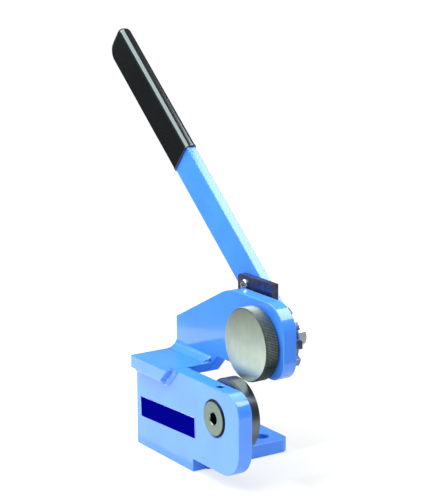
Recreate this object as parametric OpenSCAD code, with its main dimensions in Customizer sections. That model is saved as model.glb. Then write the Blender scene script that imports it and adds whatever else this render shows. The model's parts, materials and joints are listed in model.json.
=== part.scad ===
// Rotary throatless sheet metal shear for a bench.
// Two disc cutters meet at a vertical shear plane. A lever with a pawl and ratchet turns the upper
// one, and the lower one idles on an eccentric shaft that sets how far the two overlap.
// Millimetres. X runs along the front plate, Y from front to back, Z up.
// The origin is the centre of the four bolt holes, on the face that rests on the bench.

/* [Front plate] */
// Length of the front plate
plate_l = 197; // [190:1:215]
// Height of the front plate, which is also the height of the shelf's top
plate_h = 101; // [96:1:110]
// Thickness of the front plate
plate_t = 16; // [12:1:20]
// Length of the foot that stands on the bench
foot_l = 112; // [95:1:118]
// Height of the step cut away under the free end
step_h = 13.5; // [8:0.5:18]
// Radius of the free end's upper corner
end_top_r = 22; // [8:1:26]
// Radius of the free end's lower corner
end_low_r = 30; // [10:1:36]

/* [Base plate] */
// Length of the base plate along the front plate
base_l = 115; // [105:1:130]
// Depth of the base plate behind the front plate
base_d = 104; // [90:1:130]
// Thickness of the base plate
base_t = 14.4; // [8:0.2:18]
// Radius of the base plate's two rear corners
base_corner_r = 10; // [2:0.5:14]
// Diameter of the four bolt holes
bolt_hole_d = 16; // [11:0.5:20]
// Distance from the middle of a bolt hole to the base plate's nearest edges
bolt_inset = 22; // [18:0.5:28]

/* [Shelf] */
// Distance of the shelf's left end from the front plate's left end
shelf_inset = 4.5; // [0:0.5:10]
// Length of the shelf's top
shelf_l = 73; // [60:1:82]
// Thickness of the shelf
shelf_t = 14; // [10:0.5:18]
// How far the shelf stands out in front of the front plate
shelf_lip = 9.5; // [7.5:0.5:14]
// Straight length of the shelf's front edge
lip_l = 64; // [50:1:66]
// Slope of the bevel under the shelf and the arm
bevel_deg = 45; // [40:1:60]

/* [Upper arm] */
// Thickness of the arm
arm_t = 15.6; // [12:0.2:20]
// From the drive shaft's axis to the arm's right end
arm_nose = 43.4; // [40:0.2:52]
// From the drive shaft's axis up to the arm's top edge
arm_crown = 44.4; // [40:0.2:52]
// From the drive shaft's axis down to the arm's bottom edge
arm_chin = 33.6; // [28:0.2:36]
// Height of the arm's left end above the shelf's underside
arm_back_h = 48.2; // [40:0.2:60]
// Slope of the arm's upper left edge
arm_slope = 27; // [24:0.5:34]
// Radius between the slope and the top edge
crown_r = 60; // [20:1:70]
// Radius of the arm's upper right corner
nose_r = 30; // [12:1:34]
// Radius of the arm's lower right corner
chin_r = 22; // [8:1:28]

/* [Cutters] */
// Diameter of both disc cutters
cutter_d = 76; // [70:0.5:80]
// Thickness of the upper cutter
upper_cutter_t = 15.3; // [13:0.1:18]
// Thickness of the lower cutter
lower_cutter_t = 14; // [11:0.1:16]
// Chamfer on the cutters' outer edges
cutter_chamfer = 1.5; // [0.5:0.1:2.5]
// How far the two cutters overlap, measured between their axes
cutter_overlap = 1.6; // [0.4:0.1:3]
// How far the upper cutter is set towards the sheet's feed side
cutter_lead = 9.4; // [0:0.2:14]
// Gap between the two cutting faces
shear_gap = 0.1; // [0.05:0.05:0.3]
// Number of straight serrations round the upper cutter
serrations = 150; // [90:5:180]
// Depth of the serrations
serration_depth = 0.8; // [0.4:0.1:1.2]
// Distance of the lower shaft's axis from the front plate's free end
axis_inset = 44.8; // [41:0.2:50]
// Height of the lower shaft's axis
lower_axis_z = 68.8; // [62:0.2:72]

/* [Eccentric shaft] */
// Diameter of the head that turns in the front plate
ecc_head_d = 39; // [36:0.5:42]
// How far the head stands out of the front plate
ecc_proud = 1.5; // [0.5:0.1:3]
// Offset of the journal from the head's axis
ecc_throw = 1.5; // [0.5:0.1:2.5]
// Diameter of the journal that the lower cutter runs on
journal_d = 26; // [22:0.5:28]
// Width across flats of the hexagon socket for setting the shaft
ecc_socket_af = 12; // [8:1:14]
// Depth of that socket
ecc_socket_depth = 8; // [5:0.5:10]

/* [Drive shaft] */
// Diameter of the shaft in the cutter and in the arm
shaft_d = 24; // [23:0.5:26]
// Diameter of the shaft where the ratchet wheel sits
ratchet_seat_d = 22; // [21:0.5:22.5]
// Diameter of the shaft where the lever turns
lever_seat_d = 20; // [18:0.5:20.5]
// Diameter of the shaft's threaded end
thread_d = 14; // [10:1:16]
// Wall of the bronze bushes
bush_wall = 3; // [2:0.25:4]
// Thickness of the bushes' flanges
flange_t = 1.3; // [1:0.1:2]
// How far a bush's flange stands out past its barrel
flange_w = 4; // [2:0.5:5]

/* [Ratchet and pawl] */
// Number of square teeth on the ratchet wheel
teeth = 12; // [12]
// Diameter over the teeth
ratchet_tip_d = 76; // [72:0.5:78]
// Diameter at the bottom of the gaps
ratchet_root_d = 64; // [60:0.5:66]
// Width of a tooth
tooth_w = 8.5; // [7:0.25:9]
// Thickness of the ratchet wheel
ratchet_t = 10; // [8:0.5:12]
// Angle of the first tooth above level
tooth_phase = 3.5; // [2:0.5:5]
// Thickness of the pawl
pawl_t = 8; // [6:0.5:10]
// Height of the pawl's bar
pawl_h = 20; // [18:0.5:21]
// Length of the pawl from its screw to its end face
pawl_reach = 49.2; // [48.5:0.2:50]
// Length of the pawl behind its screw
pawl_tail = 12.8; // [10:0.2:16]
// Distance of the pawl's screw from the drive shaft's axis
pawl_arm = 71.5; // [71:0.1:72]

/* [Lever] */
// Lean of the lever to the left of upright
lever_lean = 50.25; // [50:0.05:50.5]
// Width of the lever's bar
lever_w = 37; // [34:0.5:42]
// Thickness of the lever's bar
lever_t = 10; // [8:0.5:14]
// Length of the bar from the drive shaft's axis to its end
lever_l = 423; // [350:1:450]
// Length of the grip
grip_l = 183; // [120:1:200]
// Wall of the grip
grip_wall = 2.5; // [1.5:0.25:4]
// Thickness of the grip past the bar's end
grip_cap = 5; // [2:0.5:8]

/* [Name plate] */
// Height of the blank name plate
label_h = 22; // [15:0.5:26]
// Distance of the name plate from the front plate's left end
label_inset = 9.5; // [6:0.5:16]
// Gap between the name plate and the eccentric shaft's head
label_gap = 16.2; // [8:0.2:30]
// Height of the name plate's middle
label_z = 46; // [34:1:58]
// Tilt of the name plate
label_tilt = 2.5; // [0:0.5:4]

/* [Hidden] */
$fn = 96;

// Colours
enamel = "#5aaaf5";
navy = "#0a0a96";
bright_steel = "#b4bcb4";
black_oxide = "#2e3136";
zinc = "#b9bdbb";
bronze = "#b08d57";
black_vinyl = "#0d0f14";

// Running fit, seat fit and the overrun of every cut
run_fit = 0.05;
seat_fit = 0.02;
overrun = 1;
// Play along an axis, and the clearance left between a curved face and what moves past it
end_play = 0.1;
clearance = 0.3;

// Welds
lip_weld_leg = 7;
lip_weld_inset = 2;
arm_weld_depth = 11.5;
arm_weld_h = 8.3;
arm_weld_r = 14;
arm_weld_taper = 1.7;
arm_weld_short = 2;
base_weld_leg = 6;
base_weld_inset = 4;

// Small parts
label_t = 0.5;
ecc_chamfer = 2;
set_screw_d = 8;
set_screw_sink = 1;
set_socket_af = 4;
set_socket_depth = 4;
retainer_d = 34;
retainer_t = 3;
retainer_gap = 0.5;
retaining_screw_d = 8;
retaining_head_d = 14;
retaining_screw_l = 16;
retaining_socket_af = 5;
retaining_socket_depth = 2.5;
lower_bush_flange_w = 3;
cutter_front_wall = 4.6;
rim_step = 0.2;
key_w = 6;
key_h = 6;
key_l = 9;
key_end = 0.5;
spacer_t = 1.1;
spacer_w = 5;
lever_play = 0.2;
shaft_washer_d = 28;
shaft_washer_t = 2;
nut_af = 22;
nut_t = 11;
nut_chamfer = 1.2;
thread_proud = 2;
thread_chamfer = 1;
pawl_screw_d = 8;
pawl_head_d = 11.6;
pawl_head_t = 2.2;
pawl_screw_l = 17;
cross_l = 6;
cross_w = 1.3;
cross_depth = 1.4;
pawl_tail_r = 5;
pawl_backlash = 1.2;
pawl_nose_w = 7;
pawl_nose_slope = 2;
pawl_nose_root_gap = 0.9;
pawl_end_relief = 0.8;
grip_section_r = 6;
grip_end_r = 16;
grip_top_r = 9;
lever_end_r = grip_end_r - grip_cap;

// Places along Y
ecc_y0 = -ecc_proud;
lower_y0 = plate_t + flange_t;
lower_y1 = lower_y0 + lower_cutter_t;
upper_y0 = lower_y1 + shear_gap;
upper_y1 = upper_y0 + upper_cutter_t;
arm_y0 = upper_y1 + flange_t;
arm_y1 = arm_y0 + arm_t;
ratchet_y0 = arm_y1 + flange_t;
ratchet_y1 = ratchet_y0 + ratchet_t;
lever_y0 = ratchet_y1 + spacer_t;
lever_y1 = lever_y0 + lever_t;
shoulder_y = lever_y1 + lever_play;
washer_y1 = shoulder_y + shaft_washer_t;
nut_y1 = washer_y1 + nut_t;
shaft_y1 = nut_y1 + thread_proud;
base_y1 = plate_t + base_d;
retainer_depth = retainer_t + 2 * end_play;
retainer_y0 = lower_y1 - retainer_depth + end_play;
retainer_y1 = retainer_y0 + retainer_t;
blind_y = upper_y0 + cutter_front_wall;
cutter_key_y = blind_y + end_play + key_end;
ratchet_key_y = ratchet_y0 + key_end;
bush_barrel_l = arm_t / 2 - key_end;
pawl_y0 = lever_y0 - pawl_t;

// Places along X and Z
cutter_r = cutter_d / 2;
lower_axis_x = plate_l - axis_inset;
axis_rise = sqrt(pow(cutter_d - cutter_overlap, 2) - pow(cutter_lead, 2));
upper_x = lower_axis_x + cutter_lead;
upper_z = lower_axis_z + axis_rise;
journal_x = lower_axis_x - ecc_throw;
label_l = lower_axis_x - ecc_head_d / 2 - label_gap - label_inset;
label_x = label_inset + label_l / 2;
shelf_x0 = shelf_inset;
shelf_x1 = shelf_x0 + shelf_l;
shelf_z0 = plate_h - shelf_t;
shelf_foot_x = shelf_x1 - shelf_t / tan(bevel_deg);
chin_z = upper_z - arm_chin;
crown_z = upper_z + arm_crown;
nose_x = upper_x + arm_nose;
origin_x = base_l / 2;
origin_y = plate_t + base_d / 2;

// The pawl's screw, the drive tooth's tip corner and the pawl's nose
pawl_x = upper_x - pawl_arm * sin(lever_lean);
pawl_z = upper_z + pawl_arm * cos(lever_lean);
tip_r = ratchet_tip_d / 2;
root_r = ratchet_root_d / 2;
drive_tooth = tooth_phase + 90;
flank_x = upper_x + tip_r * cos(drive_tooth) - tooth_w / 2 * sin(drive_tooth);
nose_end_x = flank_x - pawl_backlash;
nose_z = upper_z + root_r + pawl_nose_root_gap;
pawl_low_z = pawl_z - pawl_h / 2;
pawl_top_z = pawl_z + pawl_h / 2;
pawl_end_x = pawl_x + pawl_reach;
nose_shoulder_z = upper_z + tip_r;

// Length and direction of a flat vector
function unit(v) = v / norm(v);

// Everything is drawn from the front plate's lower left corner and moved once to the origin
module placed() { translate([-origin_x, -origin_y, 0]) children(); }

// A flat outline in X and Z, as thick as t, with its front face at y
module plate_y(y, t) { translate([0, y + t, 0]) rotate([90, 0, 0]) linear_extrude(t) children(); }

// A section in Y and Z, drawn out along X from x
module bar_x(x, l) { translate([x, 0, 0]) rotate([90, 0, 90]) linear_extrude(l) children(); }

// A round bar along Y between two depths
module rod_y(x, z, y0, y1, r0, r1) { translate([x, y0, z]) rotate([-90, 0, 0]) cylinder(h = y1 - y0, r1 = r0, r2 = r1); }

// A straight round bar along Y
module pin_y(x, z, y0, y1, r) { rod_y(x, z, y0, y1, r, r); }

// A hexagon bar along Y with two upright flats
module hex_y(x, z, y0, y1, af)
    translate([x, y1, z]) rotate([90, 0, 0]) rotate(30) cylinder(h = y1 - y0, d = af / cos(30), $fn = 6);

// The sliver outside a tangent arc of radius r in the corner between two straight edges
module corner_waste(before, corner, after, r) {
    u = unit(before - corner);
    v = unit(after - corner);
    half = acos(u * v) / 2;
    inward = unit(u + v);
    centre = corner + inward * r / sin(half);
    difference() {
        polygon([corner + u * r / tan(half), corner - inward * overrun, corner + v * r / tan(half), centre]);
        translate(centre) circle(r);
    }
}

// A rectangle with round corners, centred
module round_rect(w, d, r) {
    square([w - 2 * r, d], center = true);
    square([w, d - 2 * r], center = true);
    for (x = [-1, 1], y = [-1, 1]) translate([x * (w / 2 - r), y * (d / 2 - r)]) circle(r);
}

// A ring along Y
module ring_y(x, z, y0, y1, r_out, r_in)
    difference() {
        pin_y(x, z, y0, y1, r_out);
        pin_y(x, z, y0 - overrun, y1 + overrun, r_in);
    }

// A bush with a flange at its front end or its back end
module flanged_bush(x, z, y0, y1, flange_y, r_in, wide)
    difference() {
        union() {
            pin_y(x, z, y0, y1, r_in + bush_wall);
            pin_y(x, z, flange_y, flange_y + flange_t, r_in + bush_wall + wide);
        }
        pin_y(x, z, min(y0, flange_y) - overrun, y1 + flange_t + overrun, r_in);
    }

// The lever's own upright frame, with its foot on the drive shaft's axis
module on_lever() { translate([upper_x, 0, upper_z]) rotate([0, -lever_lean, 0]) children(); }

module base_plate()
    color(enamel) placed() difference() {
        translate([0, plate_t, 0]) linear_extrude(base_t) difference() {
            square([base_l, base_d]);
            corner_waste([0, 0], [0, base_d], [base_l, base_d], base_corner_r);
            corner_waste([0, base_d], [base_l, base_d], [base_l, 0], base_corner_r);
        }
        for (x = [bolt_inset, base_l - bolt_inset], y = [plate_t + bolt_inset, base_y1 - bolt_inset])
            translate([x, y, -overrun]) cylinder(h = base_t + 2 * overrun, d = bolt_hole_d);
    }

// Outline of the notch that carries the shelf
module shelf_notch()
    polygon([[-overrun, shelf_z0], [shelf_foot_x, shelf_z0],
             [shelf_x1 + overrun / tan(bevel_deg), plate_h + overrun], [-overrun, plate_h + overrun]]);

module front_plate()
    color(enamel) placed() difference() {
        plate_y(0, plate_t) difference() {
            union() {
                square([foot_l, step_h + overrun]);
                translate([0, step_h]) square([plate_l, plate_h - step_h]);
            }
            shelf_notch();
            corner_waste([0, plate_h], [plate_l, plate_h], [plate_l, 0], end_top_r);
            corner_waste([plate_l, plate_h], [plate_l, step_h], [0, step_h], end_low_r);
        }
        pin_y(lower_axis_x, lower_axis_z, -overrun, plate_t + overrun, ecc_head_d / 2 + run_fit);
        translate([lower_axis_x, plate_t / 2, lower_axis_z])
            cylinder(h = plate_h - lower_axis_z + overrun, r = set_screw_d / 2 + seat_fit);
    }

module shelf_plate()
    color(enamel) placed() difference() {
        plate_y(-shelf_lip, arm_y0 + shelf_lip)
            polygon([[shelf_x0, shelf_z0], [shelf_foot_x, shelf_z0], [shelf_x1, plate_h], [shelf_x0, plate_h]]);
        translate([0, 0, shelf_z0 - overrun]) linear_extrude(shelf_t + 2 * overrun)
            polygon([[shelf_x0 + lip_l, -shelf_lip], [shelf_x0 + lip_l, -shelf_lip - overrun],
                     [shelf_x1 + overrun, -shelf_lip - overrun], [shelf_x1 + overrun, 0], [shelf_x1, 0]]);
    }

module upper_arm() {
    heel = [shelf_x0, shelf_z0];
    back = [shelf_x0, shelf_z0 + arm_back_h];
    crown = [shelf_x0 + (crown_z - shelf_z0 - arm_back_h) / tan(arm_slope), crown_z];
    nose = [nose_x, crown_z];
    chin = [nose_x, chin_z];
    throat = [shelf_foot_x + (chin_z - shelf_z0) / tan(bevel_deg), chin_z];
    toe = [shelf_foot_x, shelf_z0];
    color(enamel) placed() difference() {
        plate_y(arm_y0, arm_t) difference() {
            polygon([heel, back, crown, nose, chin, throat, toe]);
            corner_waste(back, crown, nose, crown_r);
            corner_waste(crown, nose, chin, nose_r);
            corner_waste(nose, chin, throat, chin_r);
        }
        pin_y(upper_x, upper_z, arm_y0 - overrun, arm_y1 + overrun, shaft_d / 2 + run_fit + bush_wall + seat_fit);
    }
}

module base_weld()
    color(enamel) placed() bar_x(base_weld_inset, min(foot_l, base_l) - 2 * base_weld_inset)
        polygon([[plate_t, base_t], [plate_t + base_weld_leg, base_t], [plate_t, base_t + base_weld_leg]]);

module lip_weld()
    color(enamel) placed() bar_x(shelf_x0, lip_l - lip_weld_inset)
        polygon([[0, shelf_z0], [-lip_weld_leg, shelf_z0], [0, shelf_z0 - lip_weld_leg]]);

// A hollow fillet that narrows towards the throat: a bar less a round bar set at a small angle to it
module arm_weld() {
    weld_l = shelf_l - arm_weld_short;
    half_chord = norm([arm_weld_depth, arm_weld_h]) / 2;
    away = sqrt(pow(arm_weld_r, 2) - pow(half_chord, 2)) / (2 * half_chord);
    hollow_y = arm_y0 - arm_weld_depth / 2 - away * arm_weld_h;
    hollow_z = plate_h + arm_weld_h / 2 + away * arm_weld_depth;
    color(enamel) placed() difference() {
        translate([shelf_x0, arm_y0 - arm_weld_depth - overrun / 2, plate_h])
            cube([weld_l, arm_weld_depth + overrun / 2, arm_weld_h + overrun]);
        translate([shelf_x0, hollow_y, hollow_z]) rotate([0, 90, atan(arm_weld_taper / weld_l)])
            translate([0, 0, -overrun]) cylinder(h = weld_l + 2 * overrun, r = arm_weld_r);
    }
}

module name_plate()
    color(navy) placed() plate_y(-label_t, label_t)
        translate([label_x, label_z]) rotate(label_tilt) square([label_l, label_h], center = true);

module front_arm_bush()
    color(bronze) placed() flanged_bush(upper_x, upper_z, arm_y0 - flange_t, arm_y0 + bush_barrel_l,
                                        arm_y0 - flange_t, shaft_d / 2 + run_fit, flange_w);

module rear_arm_bush()
    color(bronze) placed() flanged_bush(upper_x, upper_z, arm_y1 - bush_barrel_l, arm_y1 + flange_t,
                                        arm_y1, shaft_d / 2 + run_fit, flange_w);

module set_screw() {
    low = lower_axis_z + ecc_head_d / 2 + clearance;
    top = plate_h - set_screw_sink;
    color(black_oxide) placed() translate([lower_axis_x, plate_t / 2, 0]) difference() {
        translate([0, 0, low]) cylinder(h = top - low, d = set_screw_d);
        translate([0, 0, top - set_socket_depth])
            cylinder(h = set_socket_depth + overrun, d = set_socket_af / cos(30), $fn = 6);
    }
}

module eccentric_shaft() {
    head_r = ecc_head_d / 2;
    color(bright_steel) placed() difference() {
        union() {
            rod_y(lower_axis_x, lower_axis_z, ecc_y0, ecc_y0 + ecc_chamfer, head_r - ecc_chamfer, head_r);
            pin_y(lower_axis_x, lower_axis_z, ecc_y0 + ecc_chamfer, plate_t, head_r);
            pin_y(journal_x, lower_axis_z, plate_t, retainer_y0, journal_d / 2);
        }
        hex_y(lower_axis_x, lower_axis_z, ecc_y0 - overrun, ecc_y0 + ecc_socket_depth, ecc_socket_af);
        pin_y(journal_x, lower_axis_z, retainer_y0 - retaining_screw_l - end_play, retainer_y0 + overrun,
              retaining_screw_d / 2 + seat_fit);
    }
}

module retaining_washer()
    color(zinc) placed() difference() {
        pin_y(journal_x, lower_axis_z, retainer_y0, retainer_y1, retainer_d / 2);
        pin_y(journal_x, lower_axis_z, retainer_y0 - overrun, retainer_y1, retaining_screw_d / 2 + seat_fit);
        rod_y(journal_x, lower_axis_z, retainer_y0, retainer_y1 + seat_fit,
              retaining_screw_d / 2 + seat_fit, retaining_head_d / 2 + seat_fit * 2);
    }

module retaining_screw()
    color(zinc) placed() difference() {
        union() {
            pin_y(journal_x, lower_axis_z, retainer_y0 - retaining_screw_l, retainer_y0 + end_play,
                  retaining_screw_d / 2);
            rod_y(journal_x, lower_axis_z, retainer_y0, retainer_y1, retaining_screw_d / 2, retaining_head_d / 2);
        }
        hex_y(journal_x, lower_axis_z, retainer_y1 - retaining_socket_depth, retainer_y1 + overrun,
              retaining_socket_af);
    }

module lower_cutter() {
    bore_r = journal_d / 2 + run_fit + bush_wall + seat_fit;
    color(bright_steel) placed() difference() {
        union() {
            rod_y(journal_x, lower_axis_z, lower_y0, lower_y0 + cutter_chamfer, cutter_r - cutter_chamfer, cutter_r);
            pin_y(journal_x, lower_axis_z, lower_y0 + cutter_chamfer, lower_y1, cutter_r);
        }
        pin_y(journal_x, lower_axis_z, lower_y0 - overrun, lower_y1 + overrun, bore_r);
        pin_y(journal_x, lower_axis_z, lower_y1 - retainer_depth, lower_y1 + overrun,
              retainer_d / 2 + retainer_gap);
    }
}

module lower_bush()
    color(bronze) placed() flanged_bush(journal_x, lower_axis_z, plate_t, lower_y1 - retainer_depth,
                                        plate_t, journal_d / 2 + run_fit, lower_bush_flange_w);

// A key's box, proud of the shaft by half its height, grown all round by a fit
module key_box(y, seat_r, grow)
    translate([upper_x - key_w / 2 - grow, y - grow, upper_z + seat_r - key_h / 2 - grow])
        cube([key_w + 2 * grow, key_l + 2 * grow, key_h + 2 * grow]);

module upper_cutter() {
    valley_r = cutter_r - serration_depth;
    end_r = valley_r - rim_step;
    band_y0 = upper_y0 + cutter_chamfer;
    band_y1 = upper_y1 - cutter_chamfer;
    bore_r = shaft_d / 2 + seat_fit;
    rim = [for (i = [0:serrations * 2 - 1]) (i % 2 == 0 ? cutter_r : valley_r)
           * [cos(i * 180 / serrations), sin(i * 180 / serrations)]];
    color(bright_steel) placed() difference() {
        union() {
            rod_y(upper_x, upper_z, upper_y0, band_y0, end_r - cutter_chamfer, end_r);
            plate_y(band_y0, band_y1 - band_y0) translate([upper_x, upper_z]) polygon(rim);
            rod_y(upper_x, upper_z, band_y1, upper_y1, end_r, end_r - cutter_chamfer);
        }
        pin_y(upper_x, upper_z, blind_y, upper_y1 + overrun, bore_r);
        key_box(cutter_key_y, shaft_d / 2, seat_fit);
        translate([0, key_l, 0]) key_box(cutter_key_y, shaft_d / 2, seat_fit);
    }
}

module drive_shaft()
    color(bright_steel) placed() difference() {
        union() {
            pin_y(upper_x, upper_z, blind_y + end_play, ratchet_y0, shaft_d / 2);
            pin_y(upper_x, upper_z, ratchet_y0, ratchet_y1, ratchet_seat_d / 2);
            pin_y(upper_x, upper_z, ratchet_y1, shoulder_y, lever_seat_d / 2);
            pin_y(upper_x, upper_z, shoulder_y, shaft_y1 - thread_chamfer, thread_d / 2);
            rod_y(upper_x, upper_z, shaft_y1 - thread_chamfer, shaft_y1, thread_d / 2, thread_d / 2 - thread_chamfer);
        }
        key_box(cutter_key_y, shaft_d / 2, seat_fit);
        key_box(ratchet_key_y, ratchet_seat_d / 2, seat_fit);
    }

module cutter_key() { color(zinc) placed() key_box(cutter_key_y, shaft_d / 2, 0); }

module ratchet_key() { color(zinc) placed() key_box(ratchet_key_y, ratchet_seat_d / 2, 0); }

module ratchet_wheel()
    color(black_oxide) placed() plate_y(ratchet_y0, ratchet_t) translate([upper_x, upper_z]) difference() {
        union() {
            circle(root_r);
            intersection() {
                circle(tip_r);
                for (i = [0:teeth - 1]) rotate(tooth_phase + i * 360 / teeth)
                    translate([0, -tooth_w / 2]) square([tip_r + overrun, tooth_w]);
            }
        }
        circle(ratchet_seat_d / 2 + seat_fit);
        translate([-key_w / 2 - seat_fit, 0]) square([key_w + 2 * seat_fit, ratchet_seat_d / 2 + key_h / 2 + seat_fit]);
    }

module ratchet_spacer()
    color(zinc) placed() ring_y(upper_x, upper_z, ratchet_y1, lever_y0, lever_seat_d / 2 + spacer_w,
                                lever_seat_d / 2 + run_fit);

module shaft_washer()
    color(zinc) placed() ring_y(upper_x, upper_z, shoulder_y, washer_y1, shaft_washer_d / 2, thread_d / 2 + run_fit);

module shaft_nut() {
    corner_r = nut_af / 2 / cos(30);
    color(zinc) placed() difference() {
        intersection() {
            hex_y(upper_x, upper_z, washer_y1, nut_y1, nut_af);
            union() {
                pin_y(upper_x, upper_z, washer_y1, nut_y1 - nut_chamfer, corner_r + clearance);
                rod_y(upper_x, upper_z, nut_y1 - nut_chamfer, nut_y1, corner_r + clearance, nut_af / 2);
            }
        }
        pin_y(upper_x, upper_z, washer_y1 - overrun, nut_y1 + overrun, thread_d / 2 + seat_fit);
    }
}

// The bar's outline above its foot, grown by a fit for the cavity in the grip
module bar_outline(fit) {
    half_w = lever_w / 2 + fit;
    end_z = lever_l + fit;
    difference() {
        translate([-half_w, 0]) square([2 * half_w, end_z]);
        corner_waste([-half_w, 0], [-half_w, end_z], [half_w, end_z], lever_end_r + fit);
        corner_waste([-half_w, end_z], [half_w, end_z], [half_w, 0], lever_end_r + fit);
    }
}

module lever_bar()
    color(enamel) placed() on_lever() plate_y(lever_y0, lever_t) difference() {
        union() {
            bar_outline(0);
            circle(d = lever_w);
        }
        circle(lever_seat_d / 2 + run_fit + bush_wall + seat_fit);
        translate([0, pawl_arm]) circle(pawl_screw_d / 2 + seat_fit);
    }

module lever_bush()
    color(bronze) placed() ring_y(upper_x, upper_z, lever_y0, lever_y1, lever_seat_d / 2 + run_fit + bush_wall,
                                  lever_seat_d / 2 + run_fit);

module lever_grip() {
    wide = lever_w + 2 * grip_wall;
    deep = lever_t + 2 * grip_wall;
    mid_y = (lever_y0 + lever_y1) / 2;
    end_z = lever_l + grip_cap;
    start_z = end_z - grip_l;
    color(black_vinyl) placed() on_lever() difference() {
        intersection() {
            translate([0, mid_y, start_z]) linear_extrude(grip_l) round_rect(wide, deep, grip_section_r);
            plate_y(lever_y0 - grip_wall - overrun, deep + 2 * overrun) difference() {
                translate([-wide / 2 - overrun, start_z]) square([wide + 2 * overrun, grip_l]);
                corner_waste([-wide / 2, start_z], [-wide / 2, end_z], [wide / 2, end_z], grip_end_r);
                corner_waste([-wide / 2, end_z], [wide / 2, end_z], [wide / 2, start_z], grip_top_r);
            }
        }
        plate_y(lever_y0 - seat_fit, lever_t + 2 * seat_fit) bar_outline(seat_fit);
    }
}

module pawl_screw()
    color(zinc) placed() translate([pawl_x, 0, pawl_z]) difference() {
        union() {
            pin_y(0, 0, pawl_y0 - pawl_head_t, pawl_y0, pawl_head_d / 2);
            pin_y(0, 0, pawl_y0, pawl_y0 + pawl_screw_l, pawl_screw_d / 2);
        }
        for (turn = [0, 90]) rotate([0, turn, 0])
            translate([-cross_l / 2, pawl_y0 - pawl_head_t - overrun, -cross_w / 2])
                cube([cross_l, cross_depth + overrun, cross_w]);
    }

module pawl() {
    tail_x = pawl_x - pawl_tail;
    color(black_oxide) placed() plate_y(pawl_y0, pawl_t) difference() {
        polygon([[tail_x, pawl_top_z], [pawl_end_x, pawl_top_z], [pawl_end_x, nose_shoulder_z + pawl_end_relief],
                 [nose_end_x, nose_shoulder_z - pawl_end_relief], [nose_end_x, nose_z],
                 [nose_end_x - pawl_nose_w, nose_z], [nose_end_x - pawl_nose_w - pawl_nose_slope, pawl_low_z],
                 [tail_x, pawl_low_z]]);
        corner_waste([tail_x, pawl_low_z], [tail_x, pawl_top_z], [pawl_end_x, pawl_top_z], pawl_tail_r);
        corner_waste([tail_x, pawl_top_z], [tail_x, pawl_low_z], [pawl_end_x, pawl_low_z], pawl_tail_r);
        translate([pawl_x, pawl_z]) circle(pawl_screw_d / 2 + run_fit);
    }
}

base_plate();
front_plate();
shelf_plate();
upper_arm();
base_weld();
lip_weld();
arm_weld();
name_plate();
front_arm_bush();
rear_arm_bush();
set_screw();
eccentric_shaft();
retaining_washer();
retaining_screw();
lower_cutter();
lower_bush();
upper_cutter();
drive_shaft();
cutter_key();
ratchet_key();
ratchet_wheel();
ratchet_spacer();
shaft_washer();
shaft_nut();
lever_bar();
lever_bush();
lever_grip();
pawl_screw();
pawl();
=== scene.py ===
# %% [markdown]
# # A rotary sheet metal shear
# This lesson dresses a finished CAD model of a bench shear. The CAD nodes are the frame, and nothing here
# moves or resizes them. Each painted plate, cutter and fitting is modelled again with its softened edges,
# its weld beads and its surface, in the place that the frame gives.

# %% Load the frame
import json
from math import atan2, cos, pi, radians, sin, sqrt, tan

import bmesh
import bpy
from mathutils import Matrix, Vector


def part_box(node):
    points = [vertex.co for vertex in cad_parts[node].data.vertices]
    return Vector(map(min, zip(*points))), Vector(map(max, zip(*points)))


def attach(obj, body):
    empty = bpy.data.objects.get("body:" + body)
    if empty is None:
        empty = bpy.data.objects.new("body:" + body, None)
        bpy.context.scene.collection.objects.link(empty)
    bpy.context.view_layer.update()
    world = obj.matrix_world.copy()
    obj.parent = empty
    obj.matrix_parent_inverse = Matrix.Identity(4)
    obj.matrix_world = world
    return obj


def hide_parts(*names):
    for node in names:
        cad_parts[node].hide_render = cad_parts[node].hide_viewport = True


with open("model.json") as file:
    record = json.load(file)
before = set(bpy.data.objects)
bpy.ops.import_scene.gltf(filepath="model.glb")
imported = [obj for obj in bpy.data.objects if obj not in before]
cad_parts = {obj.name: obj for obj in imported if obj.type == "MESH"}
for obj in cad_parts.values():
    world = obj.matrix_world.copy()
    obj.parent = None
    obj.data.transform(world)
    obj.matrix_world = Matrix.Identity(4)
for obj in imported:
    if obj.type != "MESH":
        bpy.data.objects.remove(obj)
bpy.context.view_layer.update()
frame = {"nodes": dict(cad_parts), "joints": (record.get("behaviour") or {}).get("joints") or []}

# %% [markdown]
# Blender works in metres and a maker thinks in millimetres, so every size below is a number of millimetres
# times mm. Places come from the frame: the box of each CAD node and the points that the joints turn about.

# %% Units, boxes and axes
mm = 0.001
base_low, base_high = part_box("base_plate")
plate_low, plate_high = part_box("front_plate")
shelf_low, shelf_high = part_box("shelf_plate")
arm_low, arm_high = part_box("upper_arm")
pivots = {joint["name"]: Vector(joint["pos_m"]) for joint in frame["joints"]}
drive_axis = pivots["lever_swing"]
eccentric_axis = pivots["eccentric_set"]
journal_axis = pivots["lower_cutter_spin"]
pawl_axis = pivots["pawl_lift"]
print("drive axis", tuple(drive_axis), "journal axis", tuple(journal_axis))

# %% [markdown]
# Every operator acts on what is selected, and the frame comes in selected. So each step first selects one
# piece alone. To edit, the vertices, edges or faces that pass a test are selected, by place or by normal,
# just as the mouse would select them. A face looks square along an axis where that part of its normal is over
# 0.9, and a 45 degree bevel lies between 0.3 and 0.9.

# %% Selecting
TOUCH = 0.02 * mm
SQUARE_ON = 0.9
BEVELLED = 0.3


def fresh():
    """Object mode, with nothing selected."""
    if bpy.context.object and bpy.context.object.mode != "OBJECT":
        bpy.ops.object.mode_set(mode="OBJECT")
    bpy.ops.object.select_all(action="DESELECT")


def only(piece):
    """Object mode, with this piece alone selected."""
    fresh()
    piece.select_set(True)
    bpy.context.view_layer.objects.active = piece


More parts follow.
